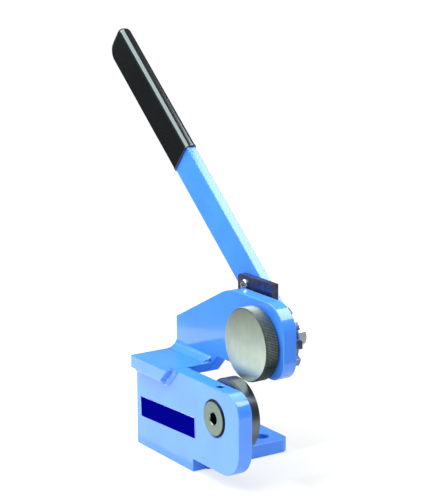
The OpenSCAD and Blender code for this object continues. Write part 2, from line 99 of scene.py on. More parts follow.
def edit(piece, kind, test):
    """Edit mode, with what passes the test selected. kind is VERT, EDGE or FACE."""
    only(piece)
    bpy.ops.object.mode_set(mode="EDIT")
    bpy.ops.mesh.select_mode(type=kind)
    bpy.ops.mesh.select_all(action="DESELECT")
    shape = bmesh.from_edit_mesh(piece.data)
    parts = {"VERT": shape.verts, "EDGE": shape.edges, "FACE": shape.faces}[kind]
    chosen = [part for part in parts if test(part)]
    for part in chosen:
        part.select_set(True)
    bmesh.update_edit_mesh(piece.data)
    return len(chosen)


def near(a, b):
    """True where two lengths are the same within the touch distance."""
    return abs(a - b) < TOUCH


def lies(part, **places):
    """True where all of an edge or a face lies at the given x, y or z."""
    return all(near(getattr(vert.co, axis), place) for vert in part.verts for axis, place in places.items())


def on_axis(axis, y=0.0):
    """The point at a depth on an axis that runs along Y."""
    return Vector((axis.x, y, axis.z))


def off_axis(point, axis):
    """How far a point lies from an axis along Y."""
    return (point - on_axis(axis, point.y)).length


# %% [markdown]
# Flat bar and round bar are the stock that this shear is made from. A cube or a cylinder is the stock, and
# every piece then goes on to be sawn, drilled, rounded and softened. The place goes into the mesh at once,
# so each object stays at the origin, unturned.

# %% Stock
def fix_place(piece, name):
    """Names a new piece and puts its place, turn and scale into its mesh."""
    piece.name = name
    piece.data.name = name
    only(piece)
    bpy.ops.object.transform_apply(location=True, rotation=True, scale=True)
    return piece


def stock(name, shape, **sizes):
    """A new piece from one of Blender's shapes, with its place in its mesh."""
    fresh()
    shape(**sizes)
    return fix_place(bpy.context.object, name)


def block(name, low, high):
    """A block of flat stock between two corners."""
    low, high = Vector(low), Vector(high)
    return stock(name, bpy.ops.mesh.primitive_cube_add, size=1, location=(low + high) / 2, scale=high - low)


def round_bar(name, axis, y0, y1, radius, sides=96):
    """A round bar along Y, about an axis, between two depths."""
    return stock(name, bpy.ops.mesh.primitive_cylinder_add, vertices=sides, radius=radius, depth=y1 - y0,
                 location=on_axis(axis, (y0 + y1) / 2), rotation=(pi / 2, 0, 0))


def upright_bar(name, x, y, z0, z1, radius, sides=64):
    """A round bar along Z between two heights."""
    return stock(name, bpy.ops.mesh.primitive_cylinder_add, vertices=sides, radius=radius, depth=z1 - z0,
                 location=(x, y, (z0 + z1) / 2))


def hexagon_r(across_flats):
    """The radius to the corners of a hexagon, as bar stock gives only its width across flats."""
    return across_flats / 2 / cos(radians(30))


def set_down(piece, place, turn, about="Y"):
    """Turns a piece that was modelled at the origin and sets it down at its place."""
    piece.matrix_world = Matrix.Translation(place) @ Matrix.Rotation(turn, 4, about)
    return fix_place(piece, piece.name)


# %% [markdown]
# A shop has few ways to shape metal: saw off a corner, cut a hole or a notch, round a corner, turn a bar's
# end smaller, break the edges. Each has one function here. Sawing is bisect with its outer side cleared,
# holes are a boolean, a round corner is a wide bevel of the edges at that corner, and broken edges are a
# narrow bevel all over. A cutting tool always runs a millimetre past the surface that it opens.

# %% Shop work
OVERRUN = 1 * mm


def saw(piece, point, outward):
    """Cuts off what lies past a plane, and closes the cut."""
    edit(piece, "FACE", lambda face: True)
    bpy.ops.mesh.bisect(plane_co=point, plane_no=outward, use_fill=True, clear_outer=True)


def score(piece, point, normal):
    """Scribes a line round a piece where a plane crosses it."""
    edit(piece, "FACE", lambda face: True)
    bpy.ops.mesh.bisect(plane_co=point, plane_no=normal)


def modify(piece, kind, **settings):
    """Puts one modifier on a piece and applies it."""
    only(piece)
    step = piece.modifiers.new(kind.lower(), kind)
    for name, value in settings.items():
        setattr(step, name, value)
    bpy.ops.object.modifier_apply(modifier=step.name)


def combine(piece, tool, how):
    """Cuts a tool out of a piece, joins it on, or keeps what they share, and uses the tool up."""
    modify(piece, "BOOLEAN", operation=how, object=tool, solver="EXACT")
    bpy.data.objects.remove(tool)


def cut(piece, tool):
    """Cuts a tool out of a piece."""
    combine(piece, tool, "DIFFERENCE")


def bore(piece, axis, y0, y1, radius, sides=96):
    """A round hole along Y, right through a piece that lies between two depths."""
    cut(piece, round_bar("bore", axis, y0 - OVERRUN, y1 + OVERRUN, radius, sides))


def draw_in(axis, share):
    """Draws what is selected in towards an axis along Y."""
    bpy.ops.transform.resize(value=(share, 1, share), center_override=on_axis(axis))


def move(piece, test, shift):
    """Moves the vertices that pass a test."""
    edit(piece, "VERT", test)
    bpy.ops.transform.translate(value=shift)


def bevel(piece, test, width, segments=1):
    """Bevels the edges that pass a test."""
    edit(piece, "EDGE", test)
    bpy.ops.mesh.bevel(offset=width, segments=segments, affect="EDGES")


def turn_down(piece, y0, y1, before_r, after_r, aside=0.0):
    """Turns a bar's end smaller: its end face at y0 is inset, set aside and extruded to y1."""
    edit(piece, "FACE", lambda face: face.normal.y > SQUARE_ON and lies(face, y=y0))
    bpy.ops.mesh.inset(thickness=before_r - after_r)
    bpy.ops.transform.translate(value=(aside, 0, 0))
    bpy.ops.mesh.extrude_region_move(TRANSFORM_OT_translate={"value": (0, y1 - y0, 0)})


def round_corner(piece, x, z, radius, corner_deg=90, segments=20):
    """Rounds the corner whose edges run along Y at x and z."""
    bevel(piece, lambda edge: lies(edge, x=x, z=z), radius / tan(radians(corner_deg / 2)), segments)


def break_edges(piece, width, segments=3, sharper_deg=32):
    """A narrow bevel on every edge sharper than an angle, then smooth shading that keeps flats flat."""
    modify(piece, "BEVEL", width=width, segments=segments, use_clamp_overlap=False, limit_method="ANGLE",
           angle_limit=radians(sharper_deg))
    smooth(piece)


def smooth(piece, sharp_deg=40):
    """Smooth shading, with flat faces weighted so that they look flat."""
    only(piece)
    bpy.ops.object.shade_smooth_by_angle(angle=radians(sharp_deg))
    modify(piece, "WEIGHTED_NORMAL", keep_sharp=True)


# %% [markdown]
# A finish is built from a few nodes. One function adds a node with its settings and links, and one turns the
# hex value of a paint or metal, as read from a screen, into the linear colour that the shader needs. A
# pattern from 0 to 1 then moves the colour between two such values and raises the surface.

# %% Nodes and colours
def add_node(tree, kind, inputs=None, **settings):
    """Adds a node. inputs gives each socket, by name or number, a value or another node's output."""
    made = tree.nodes.new(kind)
    for name, value in settings.items():
        setattr(made, name, value)
    for name, value in (inputs or {}).items():
        if isinstance(value, bpy.types.NodeSocket):
            tree.links.new(value, made.inputs[name])
        else:
            made.inputs[name].default_value = value
    return made


def linear(hex_value):
    """An sRGB hex value as linear RGBA."""
    channels = [int(hex_value[i:i + 2], 16) / 255 for i in (1, 3, 5)]
    return [c / 12.92 if c <= 0.04045 else ((c + 0.055) / 1.055) ** 2.4 for c in channels] + [1.0]


def per(length):
    """The texture scale that gives one feature in each such length."""
    return 1 / length


def new_finish(name, metallic, roughness, **sockets):
    """A material with its tree, its shader and the piece's own coordinates."""
    finish = bpy.data.materials.new(name)
    finish.use_nodes = True
    tree = finish.node_tree
    shader = tree.nodes["Principled BSDF"]
    shader.inputs["Metallic"].default_value = metallic
    shader.inputs["Roughness"].default_value = roughness
    for socket, value in sockets.items():
        shader.inputs[socket.replace("_", " ")].default_value = value
    place = add_node(tree, "ShaderNodeTexCoord").outputs["Object"]
    print("finish", name)
    return finish, tree, shader, place


def mottle(tree, shader, pattern, low, high, start=0.35, end=0.65):
    """Colours the shader between two hex values by a pattern from 0 to 1."""
    ramp = add_node(tree, "ShaderNodeMapRange", {"Value": pattern, "From Min": start, "From Max": end})
    mix = add_node(tree, "ShaderNodeMix", {0: ramp.outputs[0], 6: linear(low), 7: linear(high)},
                   data_type="RGBA")
    tree.links.new(mix.outputs[2], shader.inputs["Base Color"])


def relief(tree, shader, pattern, height):
    """Raises the surface by a pattern from 0 to 1, to a height in metres."""
    bump = add_node(tree, "ShaderNodeBump", {"Height": pattern, "Distance": height, "Strength": 1.0})
    tree.links.new(bump.outputs["Normal"], shader.inputs["Normal"])


# %% [markdown]
# Two patterns come from tools: the straight lines of a grinder or mill, and the rings of a lathe. Both start
# from the piece's own coordinates, so that their spacing is in real millimetres.

# %% Tool marks
def lines(tree, place, spacing, long, direction):
    """Fine parallel lines: a noise that is tight across and long along one axis."""
    stretch = Vector((per(spacing),) * 3)
    stretch["XYZ".index(direction)] = per(long)
    mapped = add_node(tree, "ShaderNodeMapping", {"Vector": place, "Scale": stretch})
    return add_node(tree, "ShaderNodeTexNoise", {"Vector": mapped.outputs[0], "Scale": 1.0, "Detail": 3.0,
                                                 "Roughness": 0.6}).outputs["Fac"]


def turned_rings(tree, place, axis, spacing):
    """Rings about an axis along Y, as a lathe tool leaves them."""
    moved = add_node(tree, "ShaderNodeVectorMath", {0: place, 1: (axis.x, 0, axis.z)}, operation="SUBTRACT")
    flat = add_node(tree, "ShaderNodeVectorMath", {0: moved.outputs[0], 1: (1, 0, 1)}, operation="MULTIPLY")
    radius = add_node(tree, "ShaderNodeVectorMath", {0: flat.outputs[0]}, operation="LENGTH").outputs["Value"]
    return add_node(tree, "ShaderNodeTexNoise", {"W": radius, "Scale": per(spacing), "Detail": 2.0},
                    noise_dimensions="1D").outputs["Fac"]


# %% [markdown]
# The frame and the lever are gas-cut mild steel plate under a gloss alkyd enamel, sprayed on thick. To the
# eye that is a clear sky blue with sharp, clean reflections that wobble a little, because sprayed enamel
# dries with a shallow orange peel a millimetre or two across.

# %% Sky blue enamel
enamel, tree, shader, place = new_finish("sprayed_blue_enamel", 0.0, 0.16, IOR=1.5, Coat_Weight=0.35,
                                         Coat_Roughness=0.05)
drift = add_node(tree, "ShaderNodeTexNoise", {"Vector": place, "Scale": per(45 * mm), "Detail": 2.0})
mottle(tree, shader, drift.outputs["Fac"], "#3c81df", "#4288e8")
peel = add_node(tree, "ShaderNodeTexNoise", {"Vector": place, "Scale": per(1.8 * mm), "Detail": 1.0})
relief(tree, shader, peel.outputs["Fac"], 0.008 * mm)

# %% [markdown]
# The name plate is a blank piece of cast vinyl film, navy on its face and white where its edge is cut. The
# face is smooth and all but matt, with a fine grain. This and several later finishes are simply clouded: one
# soft noise moves both colour and surface.

# %% Navy vinyl
def clouded(name, metallic, roughness, size, detail, low, high, height=0.0, **sockets):
    """A finish that one noise colours between two hex values, and raises where it has a height."""
    finish, tree, shader, place = new_finish(name, metallic, roughness, **sockets)
    noise = add_node(tree, "ShaderNodeTexNoise", {"Vector": place, "Scale": per(size), "Detail": detail})
    mottle(tree, shader, noise.outputs["Fac"], low, high)
    if height:
        relief(tree, shader, noise.outputs["Fac"], height)
    return finish


navy = clouded("cast_navy_vinyl", 0.0, 0.4, 0.9 * mm, 2.0, "#020266", "#030374", 0.005 * mm, IOR=1.5,
               Specular_IOR_Level=0.0)
white_core = clouded("cut_vinyl_edge", 0.0, 0.6, 0.5 * mm, 2.0, "#d9dbe6", "#f2f3f8", IOR=1.5)

# %% [markdown]
# The cutters are hardened tool steel. Their faces are surface ground, which leaves fine straight lines and a
# soft grey-green sheen that spreads the light. The lower cutter's shearing edge is ground again, finer, and
# catches the light as a white line. Its rim is ground round. The serrated rim of the upper cutter and the
# chamfers keep their dark heat-treatment scale, except on the driving flank of each serration. That flank is
# light: partly worn bright by the sheet, partly a painted highlight on that one flank. Real grinding lines
# are some 0.05 mm apart, too fine to show here, so they are drawn coarser.

# %% Tool steel
face_steel, tree, shader, place = new_finish("surface_ground_tool_steel", 1.0, 0.3, Anisotropic=0.3)
grind = lines(tree, place, 0.5 * mm, 30 * mm, "Z")
cloud = add_node(tree, "ShaderNodeTexNoise", {"Vector": place, "Scale": per(14 * mm), "Detail": 3.0})
both = add_node(tree, "ShaderNodeMath", {0: grind, 1: cloud.outputs["Fac"]}, operation="ADD")
half = add_node(tree, "ShaderNodeMath", {0: both.outputs[0], 1: 0.5}, operation="MULTIPLY")
mottle(tree, shader, half.outputs[0], "#a4b4a6", "#bfccbd", 0.3, 0.7)
relief(tree, shader, grind, 0.006 * mm)

edge_steel, tree, shader, place = new_finish("fine_ground_edge", 1.0, 0.32)
grind = lines(tree, place, 0.3 * mm, 6 * mm, "Y")
mottle(tree, shader, grind, "#8e9992", "#a0aaa3")
relief(tree, shader, grind, 0.003 * mm)

rim_steel, tree, shader, place = new_finish("cylindrical_ground_rim", 1.0, 0.3)
depth = add_node(tree, "ShaderNodeSeparateXYZ", {0: place}).outputs["Y"]
grind = add_node(tree, "ShaderNodeTexNoise", {"W": depth, "Scale": per(0.6 * mm), "Detail": 2.0},
                 noise_dimensions="1D").outputs["Fac"]
mottle(tree, shader, grind, "#4e545a", "#60686f")
relief(tree, shader, grind, 0.004 * mm)

# The last finish is partly the sheet's wear and partly a painted highlight on one flank of each serration.
scaled_steel, dark_steel, wear_and_flank_highlight_steel = (
    clouded(name, 1.0, 0.6, 2.5 * mm, 5.0, low, high, 0.01 * mm)
    for name, low, high in (("heat_treatment_scale", "#3f4643", "#4e5652"),
                            ("thick_heat_treatment_scale", "#404240", "#505250"),
                            ("sheet_wear_and_painted_flank_highlight", "#8d9893", "#a0aba6")))

# %% [markdown]
# The shafts and the lower cutter's front are turned. A lathe leaves rings about the axis, so the face of the
# eccentric shaft shows them as a faint record groove. They too are drawn coarser than the 0.1 mm of a real
# tool's feed, so that they show.

# %% Turned steel
def turned_steel(name, axis, low, high):
    """Rings about an axis."""
    finish, tree, shader, place = new_finish(name, 1.0, 0.4)
    rings = turned_rings(tree, place, axis, 0.7 * mm)
    mottle(tree, shader, rings, low, high)
    relief(tree, shader, rings, 0.003 * mm)
    return finish


head_steel = turned_steel("turned_eccentric_head", eccentric_axis, "#66776e", "#78897f")
disc_steel = turned_steel("turned_cutter_front", journal_axis, "#8f9092", "#a1a2a4")
shaft_steel = turned_steel("turned_drive_shaft", drive_axis, "#b3b8b8", "#c6cbcb")

# %% [markdown]
# The ratchet wheel, the pawl and the set screw are black oxide over machined steel: a thin blue-black skin
# that still shows the milling under it and turns grey where light grazes it. On the set screw it is deeper
# and matt. The same deep matt black is painted shade in the socket and on the front chamfer of the eccentric
# shaft, and in the pawl screw's cross recess. The milling lines are drawn coarser than real ones, so that
# they show.

# %% Black oxide
oxide, tree, shader, place = new_finish("black_oxide_steel", 1.0, 0.36)
skin = add_node(tree, "ShaderNodeTexNoise", {"Vector": place, "Scale": per(6 * mm), "Detail": 4.0})
mottle(tree, shader, skin.outputs["Fac"], "#545a78", "#666d8c")
mill = lines(tree, place, 0.45 * mm, 12 * mm, "X")
relief(tree, shader, mill, 0.006 * mm)

# Deep black oxide on the set screw. On the other pieces it is painted shade in sockets, recesses and a
# chamfer.
oxide_and_recess_shade = clouded("black_oxide_and_painted_shade", 1.0, 0.5, 2 * mm, 3.0, "#16181b", "#24272b")

# %% [markdown]
# Screws, washers and the nut are zinc plated: bright, slightly blue, with small cloudy patches where the
# plating crystals differ. The bushes are sintered bronze, a warm matt yellow with open pores that hold oil.
# Both the crystals and the pores are really finer, and are drawn coarser so that they show.

# %% Zinc and bronze
zinc, tree, shader, place = new_finish("bright_zinc_plate", 1.0, 0.26)
crystals = add_node(tree, "ShaderNodeTexVoronoi", {"Vector": place, "Scale": per(2.2 * mm)})
mottle(tree, shader, crystals.outputs["Distance"], "#c2c9cc", "#dde2e4", 0.1, 0.7)
relief(tree, shader, crystals.outputs["Distance"], 0.004 * mm)

bronze = clouded("sintered_bronze", 1.0, 0.48, 0.4 * mm, 3.0, "#7d6236", "#b8935a", 0.02 * mm)

# %% [markdown]
# The grip is a dip-moulded PVC sleeve, a deep gloss black. Its flats stay dark, and its rounded edges throw a
# long clear highlight, a little cool.

# %% Dipped vinyl
vinyl = clouded("dip_moulded_vinyl", 0.0, 0.18, 5 * mm, 2.0, "#010202", "#030404", 0.004 * mm, IOR=1.8,
                Specular_Tint=(0.8, 0.96, 1.0, 1.0))

# %% [markdown]
# Each finished piece is dressed: the CAD node that it stands for is hidden, and the piece gets its body and
# its finishes. Some pieces then get a second finish on the faces that pass a test. Painted plates have their
# edges broken first, because thick enamel never leaves a knife edge.

# %% Dressing a piece
PAINT_EDGE = 0.8 * mm


def dress(piece, cad_node, body, slot, *finishes):
    """Hides the CAD node that a piece stands for, and gives the piece its body and its finishes. slot is not
    used.
    """
    only(piece)
    piece.data.materials.clear()
    for finish in finishes:
        piece.data.materials.append(finish)
    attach(piece, body)
    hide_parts(cad_node)
    print(piece.name, len(piece.data.polygons), "faces")


def finish_faces(piece, number, test):
    """Gives the faces that pass a test the piece's finish of that number."""
    for face in piece.data.polygons:
        if test(face):
            face.material_index = number


def paint(piece, cad_node, body="frame"):
    """Breaks a plate's edges and sprays it blue."""
    break_edges(piece, PAINT_EDGE)
    dress(piece, cad_node, body, "blue_enamel", enamel)


# %% [markdown]
# ## The welded frame
# The foot is a flat plate with four bolt holes and two round rear corners. The holes are drilled by boolean
# with one round bar each, and all the sharp edges are then broken by 0.8 mm.

# %% Base plate
bolt_hole_r = 8 * mm
bolt_inset = 22 * mm
base_corner_r = 10 * mm

foot = block("painted_base_plate", base_low, base_high)
for corner_x in (base_low.x, base_high.x):
    bevel(foot, lambda edge: lies(edge, x=corner_x, y=base_high.y), base_corner_r, segments=14)
for hole_x in (base_low.x + bolt_inset, base_high.x - bolt_inset):
    for hole_y in (base_low.y + bolt_inset, base_high.y - bolt_inset):
        drill = upright_bar("drill", hole_x, hole_y, -OVERRUN, base_high.z + OVERRUN, bolt_hole_r, sides=48)
        cut(foot, drill)
paint(foot, "base_plate")

# %% [markdown]
# The front plate stands on edge. A step is cut away under its free end, a notch with a 45 degree end takes
# the shelf, and the free end has two big round corners. A wide bore takes the eccentric shaft's head, and a
# small hole from the top edge takes its set screw.

# %% Front plate
foot_l = 112 * mm
step_h = 13.5 * mm
end_top_r = 22 * mm
end_low_r = 30 * mm
head_bore_r = 19.55 * mm
set_screw_r = 4 * mm
slope = Vector((1, 0, -1)).normalized()

upright = block("painted_front_plate", plate_low, plate_high)
step = block("step", (plate_low.x + foot_l, plate_low.y - OVERRUN, -OVERRUN),
             (plate_high.x + OVERRUN, plate_high.y + OVERRUN, step_h))
cut(upright, step)
round_corner(upright, plate_high.x, plate_high.z, end_top_r)
round_corner(upright, plate_high.x, step_h, end_low_r, segments=24)
notch = block("notch", (plate_low.x - OVERRUN, plate_low.y - OVERRUN, shelf_low.z),
              (shelf_high.x + 2 * OVERRUN, plate_high.y + OVERRUN, plate_high.z + OVERRUN))
saw(notch, (shelf_high.x, 0, shelf_high.z), slope)
cut(upright, notch)
bore(upright, eccentric_axis, plate_low.y, plate_high.y, head_bore_r)
plate_mid_y = (plate_low.y + plate_high.y) / 2
drill = upright_bar("drill", eccentric_axis.x, plate_mid_y, eccentric_axis.z, plate_high.z + OVERRUN,
                    set_screw_r + TOUCH)
cut(upright, drill)
paint(upright, "front_plate")

# %% [markdown]
# The shelf bridges from the front plate to the arm. Its right end is bevelled underneath, and its front lip
# is cut off at a slant where it meets the front plate. Both are single saw cuts.

# %% Shelf plate
lip_l = 64 * mm

shelf = block("painted_shelf_plate", shelf_low, shelf_high)
saw(shelf, (shelf_high.x, 0, shelf_high.z), slope)
lip_end = Vector((shelf_low.x + lip_l, shelf_low.y, 0))
lip_meets = Vector((shelf_high.x, plate_low.y, 0))
along = lip_meets - lip_end
saw(shelf, lip_end, (along.y, -along.x, 0))
paint(shelf, "shelf_plate")

# %% [markdown]
# The upper arm is one thick profile plate. It is a block with its upper left corner sawn off at a slope and
# a throat cut away below. Its crown, nose and chin are then rounded with wide bevels, and its bore is
# drilled for the drive shaft's bushes.

# %% Upper arm
arm_back_h = 48.2 * mm
slope_deg = 27
chin_h = 22 * mm
crown_r, nose_r, chin_r = 60 * mm, 30 * mm, 22 * mm
bush_bore_r = 15.07 * mm

arm = block("painted_upper_arm", arm_low, arm_high)
crown_x = arm_low.x + (arm_high.z - arm_low.z - arm_back_h) / tan(radians(slope_deg))
saw(arm, (crown_x, 0, arm_high.z), (-sin(radians(slope_deg)), 0, cos(radians(slope_deg))))
chin_z = arm_low.z + chin_h
throat = block("throat", (arm_low.x, arm_low.y - OVERRUN, arm_low.z - OVERRUN),
               (arm_high.x + OVERRUN, arm_high.y + OVERRUN, chin_z))
toe_x = shelf_high.x - (shelf_high.z - shelf_low.z)
saw(throat, (toe_x, 0, shelf_low.z), -slope)
cut(arm, throat)
round_corner(arm, crown_x, arm_high.z, crown_r, 180 - slope_deg)
round_corner(arm, arm_high.x, arm_high.z, nose_r, segments=28)
round_corner(arm, arm_high.x, chin_z, chin_r, segments=24)
bore(arm, drive_axis, arm_low.y, arm_high.y, bush_bore_r)
paint(arm, "upper_arm")

# %% [markdown]
# A hand-laid fillet weld is a row of overlapping ripples, each one a cooled puddle of metal. One flattened
# ball is the puddle. An array lays a row of them, a voxel remesh melts them into one bead, and two saw cuts
# leave the quarter that stands outside the plates. The paint over it rounds the ripples off.

# %% Lip weld, straight part
RIPPLE = 2.6 * mm
VOXEL = 0.5 * mm


def melt(piece, passes):
    """Melts a piece that is made of overlapping forms into one skin, and settles it."""
    modify(piece, "REMESH", mode="VOXEL", voxel_size=VOXEL)
    modify(piece, "SMOOTH", factor=0.5, iterations=passes)


def weld_bead(name, start, length, puddle_r):
    """A row of melted puddles along X, from a point at the root of the joint."""
    bead = stock(name, bpy.ops.mesh.primitive_uv_sphere_add, segments=24, ring_count=12, radius=puddle_r,
                 location=start + Vector((puddle_r / 2, 0, 0)), scale=(0.5, 1, 1))
    modify(bead, "ARRAY", count=int((length - puddle_r) / RIPPLE), use_relative_offset=False,
           use_constant_offset=True, constant_offset_displace=(RIPPLE, 0, 0))
    melt(bead, passes=3)
    return bead


lip_bead_r = 6.4 * mm
lip_bead_l = 62 * mm
lip_root = Vector((shelf_low.x, plate_low.y, shelf_low.z))
lip_bead = weld_bead("painted_lip_weld", lip_root, lip_bead_l, lip_bead_r)
saw(lip_bead, (0, plate_low.y, 0), (0, 1, 0))
saw(lip_bead, (0, 0, shelf_low.z), (0, 0, 1))
print("straight part of the lip weld", len(lip_bead.data.polygons), "faces")

# %% [markdown]
# The bead under the shelf's lip turns at the lip's end and climbs its slanted end to the top edge. The welder
# held back there, so it lies flatter. That part is six flattened balls, each sawn off at the plate's face and
# at its top edge and joined on, one step further down the 45 degree line than the last.

# %% Lip weld, climbing part
climbing_puddles = 6
climb_start, climb_step = 1 * mm, 2.9 * mm
climbing_r, climbing_flatness = 6.5 * mm, 0.4
ripple_sharp_deg = 50


def ball(name, middle, radius, stretch, subdivisions):
    """A ball of weld metal, stretched or flattened along the axes."""
    return stock(name, bpy.ops.mesh.primitive_ico_sphere_add, subdivisions=subdivisions, radius=radius,
                 location=middle, scale=stretch)


for number in range(climbing_puddles):
    down = climb_start + number * climb_step
    puddle = ball("puddle", (shelf_high.x - down, plate_low.y, shelf_high.z - down), climbing_r,
                  (1, climbing_flatness, 1), subdivisions=4)
    saw(puddle, (0, plate_low.y, 0), (0, 1, 0))
    saw(puddle, (0, 0, shelf_high.z), (0, 0, 1))
    combine(lip_bead, puddle, "UNION")
smooth(lip_bead, ripple_sharp_deg)
dress(lip_bead, "lip_weld", "frame", "blue_enamel", enamel)

# %% [markdown]
# The base weld lies behind, in the corner between the foot and the front plate. It is the same straight bead.

# %% Base weld
base_bead_r = 5.6 * mm
base_bead_l = 104 * mm
base_bead_inset = 4 * mm
base_root = Vector((base_low.x + base_bead_inset, base_low.y, base_high.z))
base_bead = weld_bead("painted_base_weld", base_root, base_bead_l, base_bead_r)
saw(base_bead, (0, plate_high.y, 0), (0, -1, 0))
saw(base_bead, (0, 0, base_high.z), (0, 0, -1))
smooth(base_bead)
dress(base_bead, "base_weld", "frame", "blue_enamel", enamel)

# %% [markdown]
# The weld between the shelf and the arm was dressed hollow before painting, so it is a cove. It gets narrower
# towards the throat and ends there in small lumps, where the welder stopped. A block is hollowed by a round
# bar set at a small angle, the lumps are joined on, and the same remesh melts them together. Each lump is a
# row of four numbers: its place along the weld, out from the arm and up from the shelf, and its radius.

# %% Cove weld
cove_depth, cove_h = 11.5 * mm, 8.3 * mm
cove_r = 14 * mm
cove_l = 71 * mm
cove_narrowing = 1.7 * mm
cove_root = 3 * mm
half_chord = sqrt(cove_depth ** 2 + cove_h ** 2) / 2
away = sqrt(cove_r ** 2 - half_chord ** 2) / (2 * half_chord)
# the bar's middle lies off the chord's middle, out from the arm and up from the shelf
hollow_out = cove_depth / 2 + away * cove_h - cove_narrowing / 2
hollow_up = cove_h / 2 + away * cove_depth
cove_end = Vector((3, 0, 2)).normalized()
lump_stretch = (0.6, 1, 1)
lumps = [(68 * mm, 6.4 * mm, 1.2 * mm, 2.4 * mm),
         (69.5 * mm, 3.2 * mm, 2.4 * mm, 2 * mm),
         (68.5 * mm, 9.4 * mm, 0.8 * mm, 1.5 * mm)]

cove = block("painted_arm_weld",
             (shelf_low.x, arm_low.y - cove_depth - OVERRUN / 2, shelf_high.z - cove_root),
             (shelf_low.x + cove_l, arm_low.y + cove_root, shelf_high.z + cove_h + OVERRUN))
hollow = stock("hollow", bpy.ops.mesh.primitive_cylinder_add, vertices=128, radius=cove_r,
               depth=cove_l + 4 * OVERRUN, rotation=(0, pi / 2, atan2(cove_narrowing, cove_l)),
               location=(shelf_low.x + cove_l / 2, arm_low.y - hollow_out, shelf_high.z + hollow_up))
cut(cove, hollow)
saw(cove, (shelf_low.x + cove_l, 0, shelf_high.z), cove_end)
for lump_x, lump_out, lump_up, lump_r in lumps:
    middle = (shelf_low.x + lump_x, arm_low.y - lump_out, shelf_high.z + lump_up)
    combine(cove, ball("lump", middle, lump_r, lump_stretch, subdivisions=3), "UNION")
melt(cove, passes=2)
saw(cove, (0, arm_low.y, 0), (0, 1, 0))
saw(cove, (0, 0, shelf_high.z), (0, 0, -1))
saw(cove, (shelf_low.x, 0, 0), (-1, 0, 0))
smooth(cove)
dress(cove, "arm_weld", "frame", "blue_enamel", enamel)

# %% [markdown]
# The blank name plate was stuck on by hand, so it sits at a slight tilt. It is a thin block with its corners
# just rounded. Its faces on the rim take the white core of the film.

# %% Name plate
FINE_EDGE = 0.12 * mm
EDGE_ON = 0.5
label_low, label_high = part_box("name_plate")
label_tilt = radians(2.5)
label_h = 22 * mm
label_t = 0.5 * mm
label_corner_r = 0.8 * mm
label_mid = (label_low + label_high) / 2
label_l = (label_high.x - label_low.x - label_h * sin(label_tilt)) / cos(label_tilt)

label = block("blank_name_plate", (-label_l / 2, 0, -label_h / 2), (label_l / 2, label_t, label_h / 2))
for corner_x in (-label_l / 2, label_l / 2):
    for corner_z in (-label_h / 2, label_h / 2):
        round_corner(label, corner_x, corner_z, label_corner_r, segments=4)
set_down(label, on_axis(label_mid, label_low.y), -label_tilt)
break_edges(label, FINE_EDGE, segments=2)
dress(label, "name_plate", "frame", "navy_plate", navy, white_core)
finish_faces(label, 1, lambda face: abs(face.normal.y) < EDGE_ON)

# %% [markdown]
# ## The lower cutter
# The eccentric shaft is turned in one piece. Its round head turns in the front plate, and behind it the
# journal for the cutter stands 1.5 mm off centre. The head's back face is inset to the journal's size,
# moved off centre and extruded. A hexagon socket in the front takes the key that sets the overlap.

# %% Eccentric shaft
head_low, head_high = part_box("eccentric_shaft")
head_r = 19.5 * mm
head_back_y = plate_high.y
journal_r = 13 * mm
socket_af = 12 * mm
socket_depth = 8 * mm
lead_in_r, lead_in_shrink = socket_af * 0.66, 0.8
rim_chamfer = 2 * mm
screw_bore_r, screw_bore_depth = 4.02 * mm, 16 * mm
turned_edge = 0.15 * mm

shaft = round_bar("turned_eccentric_shaft", eccentric_axis, head_low.y, head_back_y, head_r, sides=128)
turn_down(shaft, head_back_y, head_high.y, head_r, journal_r, aside=journal_axis.x - eccentric_axis.x)
bevel(shaft, lambda edge: lies(edge, y=head_low.y), rim_chamfer)
socket = round_bar("socket", eccentric_axis, head_low.y - OVERRUN, head_low.y + socket_depth,
                   hexagon_r(socket_af), sides=6)
cut(shaft, socket)
lead_in = round_bar("lead_in", eccentric_axis, head_low.y - OVERRUN, head_low.y + OVERRUN, lead_in_r)
edit(lead_in, "VERT", lambda vert: near(vert.co.y, head_low.y + OVERRUN))
draw_in(eccentric_axis, lead_in_shrink)
cut(shaft, lead_in)
cut(shaft, round_bar("screw_bore", journal_axis, head_high.y - screw_bore_depth, head_high.y + OVERRUN,
                     screw_bore_r, sides=48))
break_edges(shaft, turned_edge, segments=2)
dress(shaft, "eccentric_shaft", "eccentric", "ground_steel", head_steel, oxide_and_recess_shade)
# Painted shade: the front rim chamfer and the inside of the socket take the deep black.
finish_faces(shaft, 1, lambda face: face.center.y < head_low.y + rim_chamfer + TOUCH
             and -SQUARE_ON < face.normal.y < -BEVELLED
             and off_axis(face.center, eccentric_axis) > head_r - rim_chamfer - TOUCH)
finish_faces(shaft, 1, lambda face: head_low.y + OVERRUN < face.center.y < head_back_y
             and off_axis(face.center, eccentric_axis) < lead_in_r)

# %% [markdown]
# The lower cutter is a plain disc with a bore for its bush and a recess behind for the retaining washer. Its
# front is left as turned, with a wide chamfer that keeps its dark scale. Its back is ground, and the rim of
# the back is the shearing edge, ground sharp and bright.

# %% Lower cutter
disc_low, disc_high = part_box("lower_cutter")
disc_r = (disc_high.z - disc_low.z) / 2
disc_chamfer = 1.5 * mm
disc_bore_r = 16.07 * mm
recess_r = 17.5 * mm
recess_depth = 3.2 * mm
shear_edge = 0.3 * mm

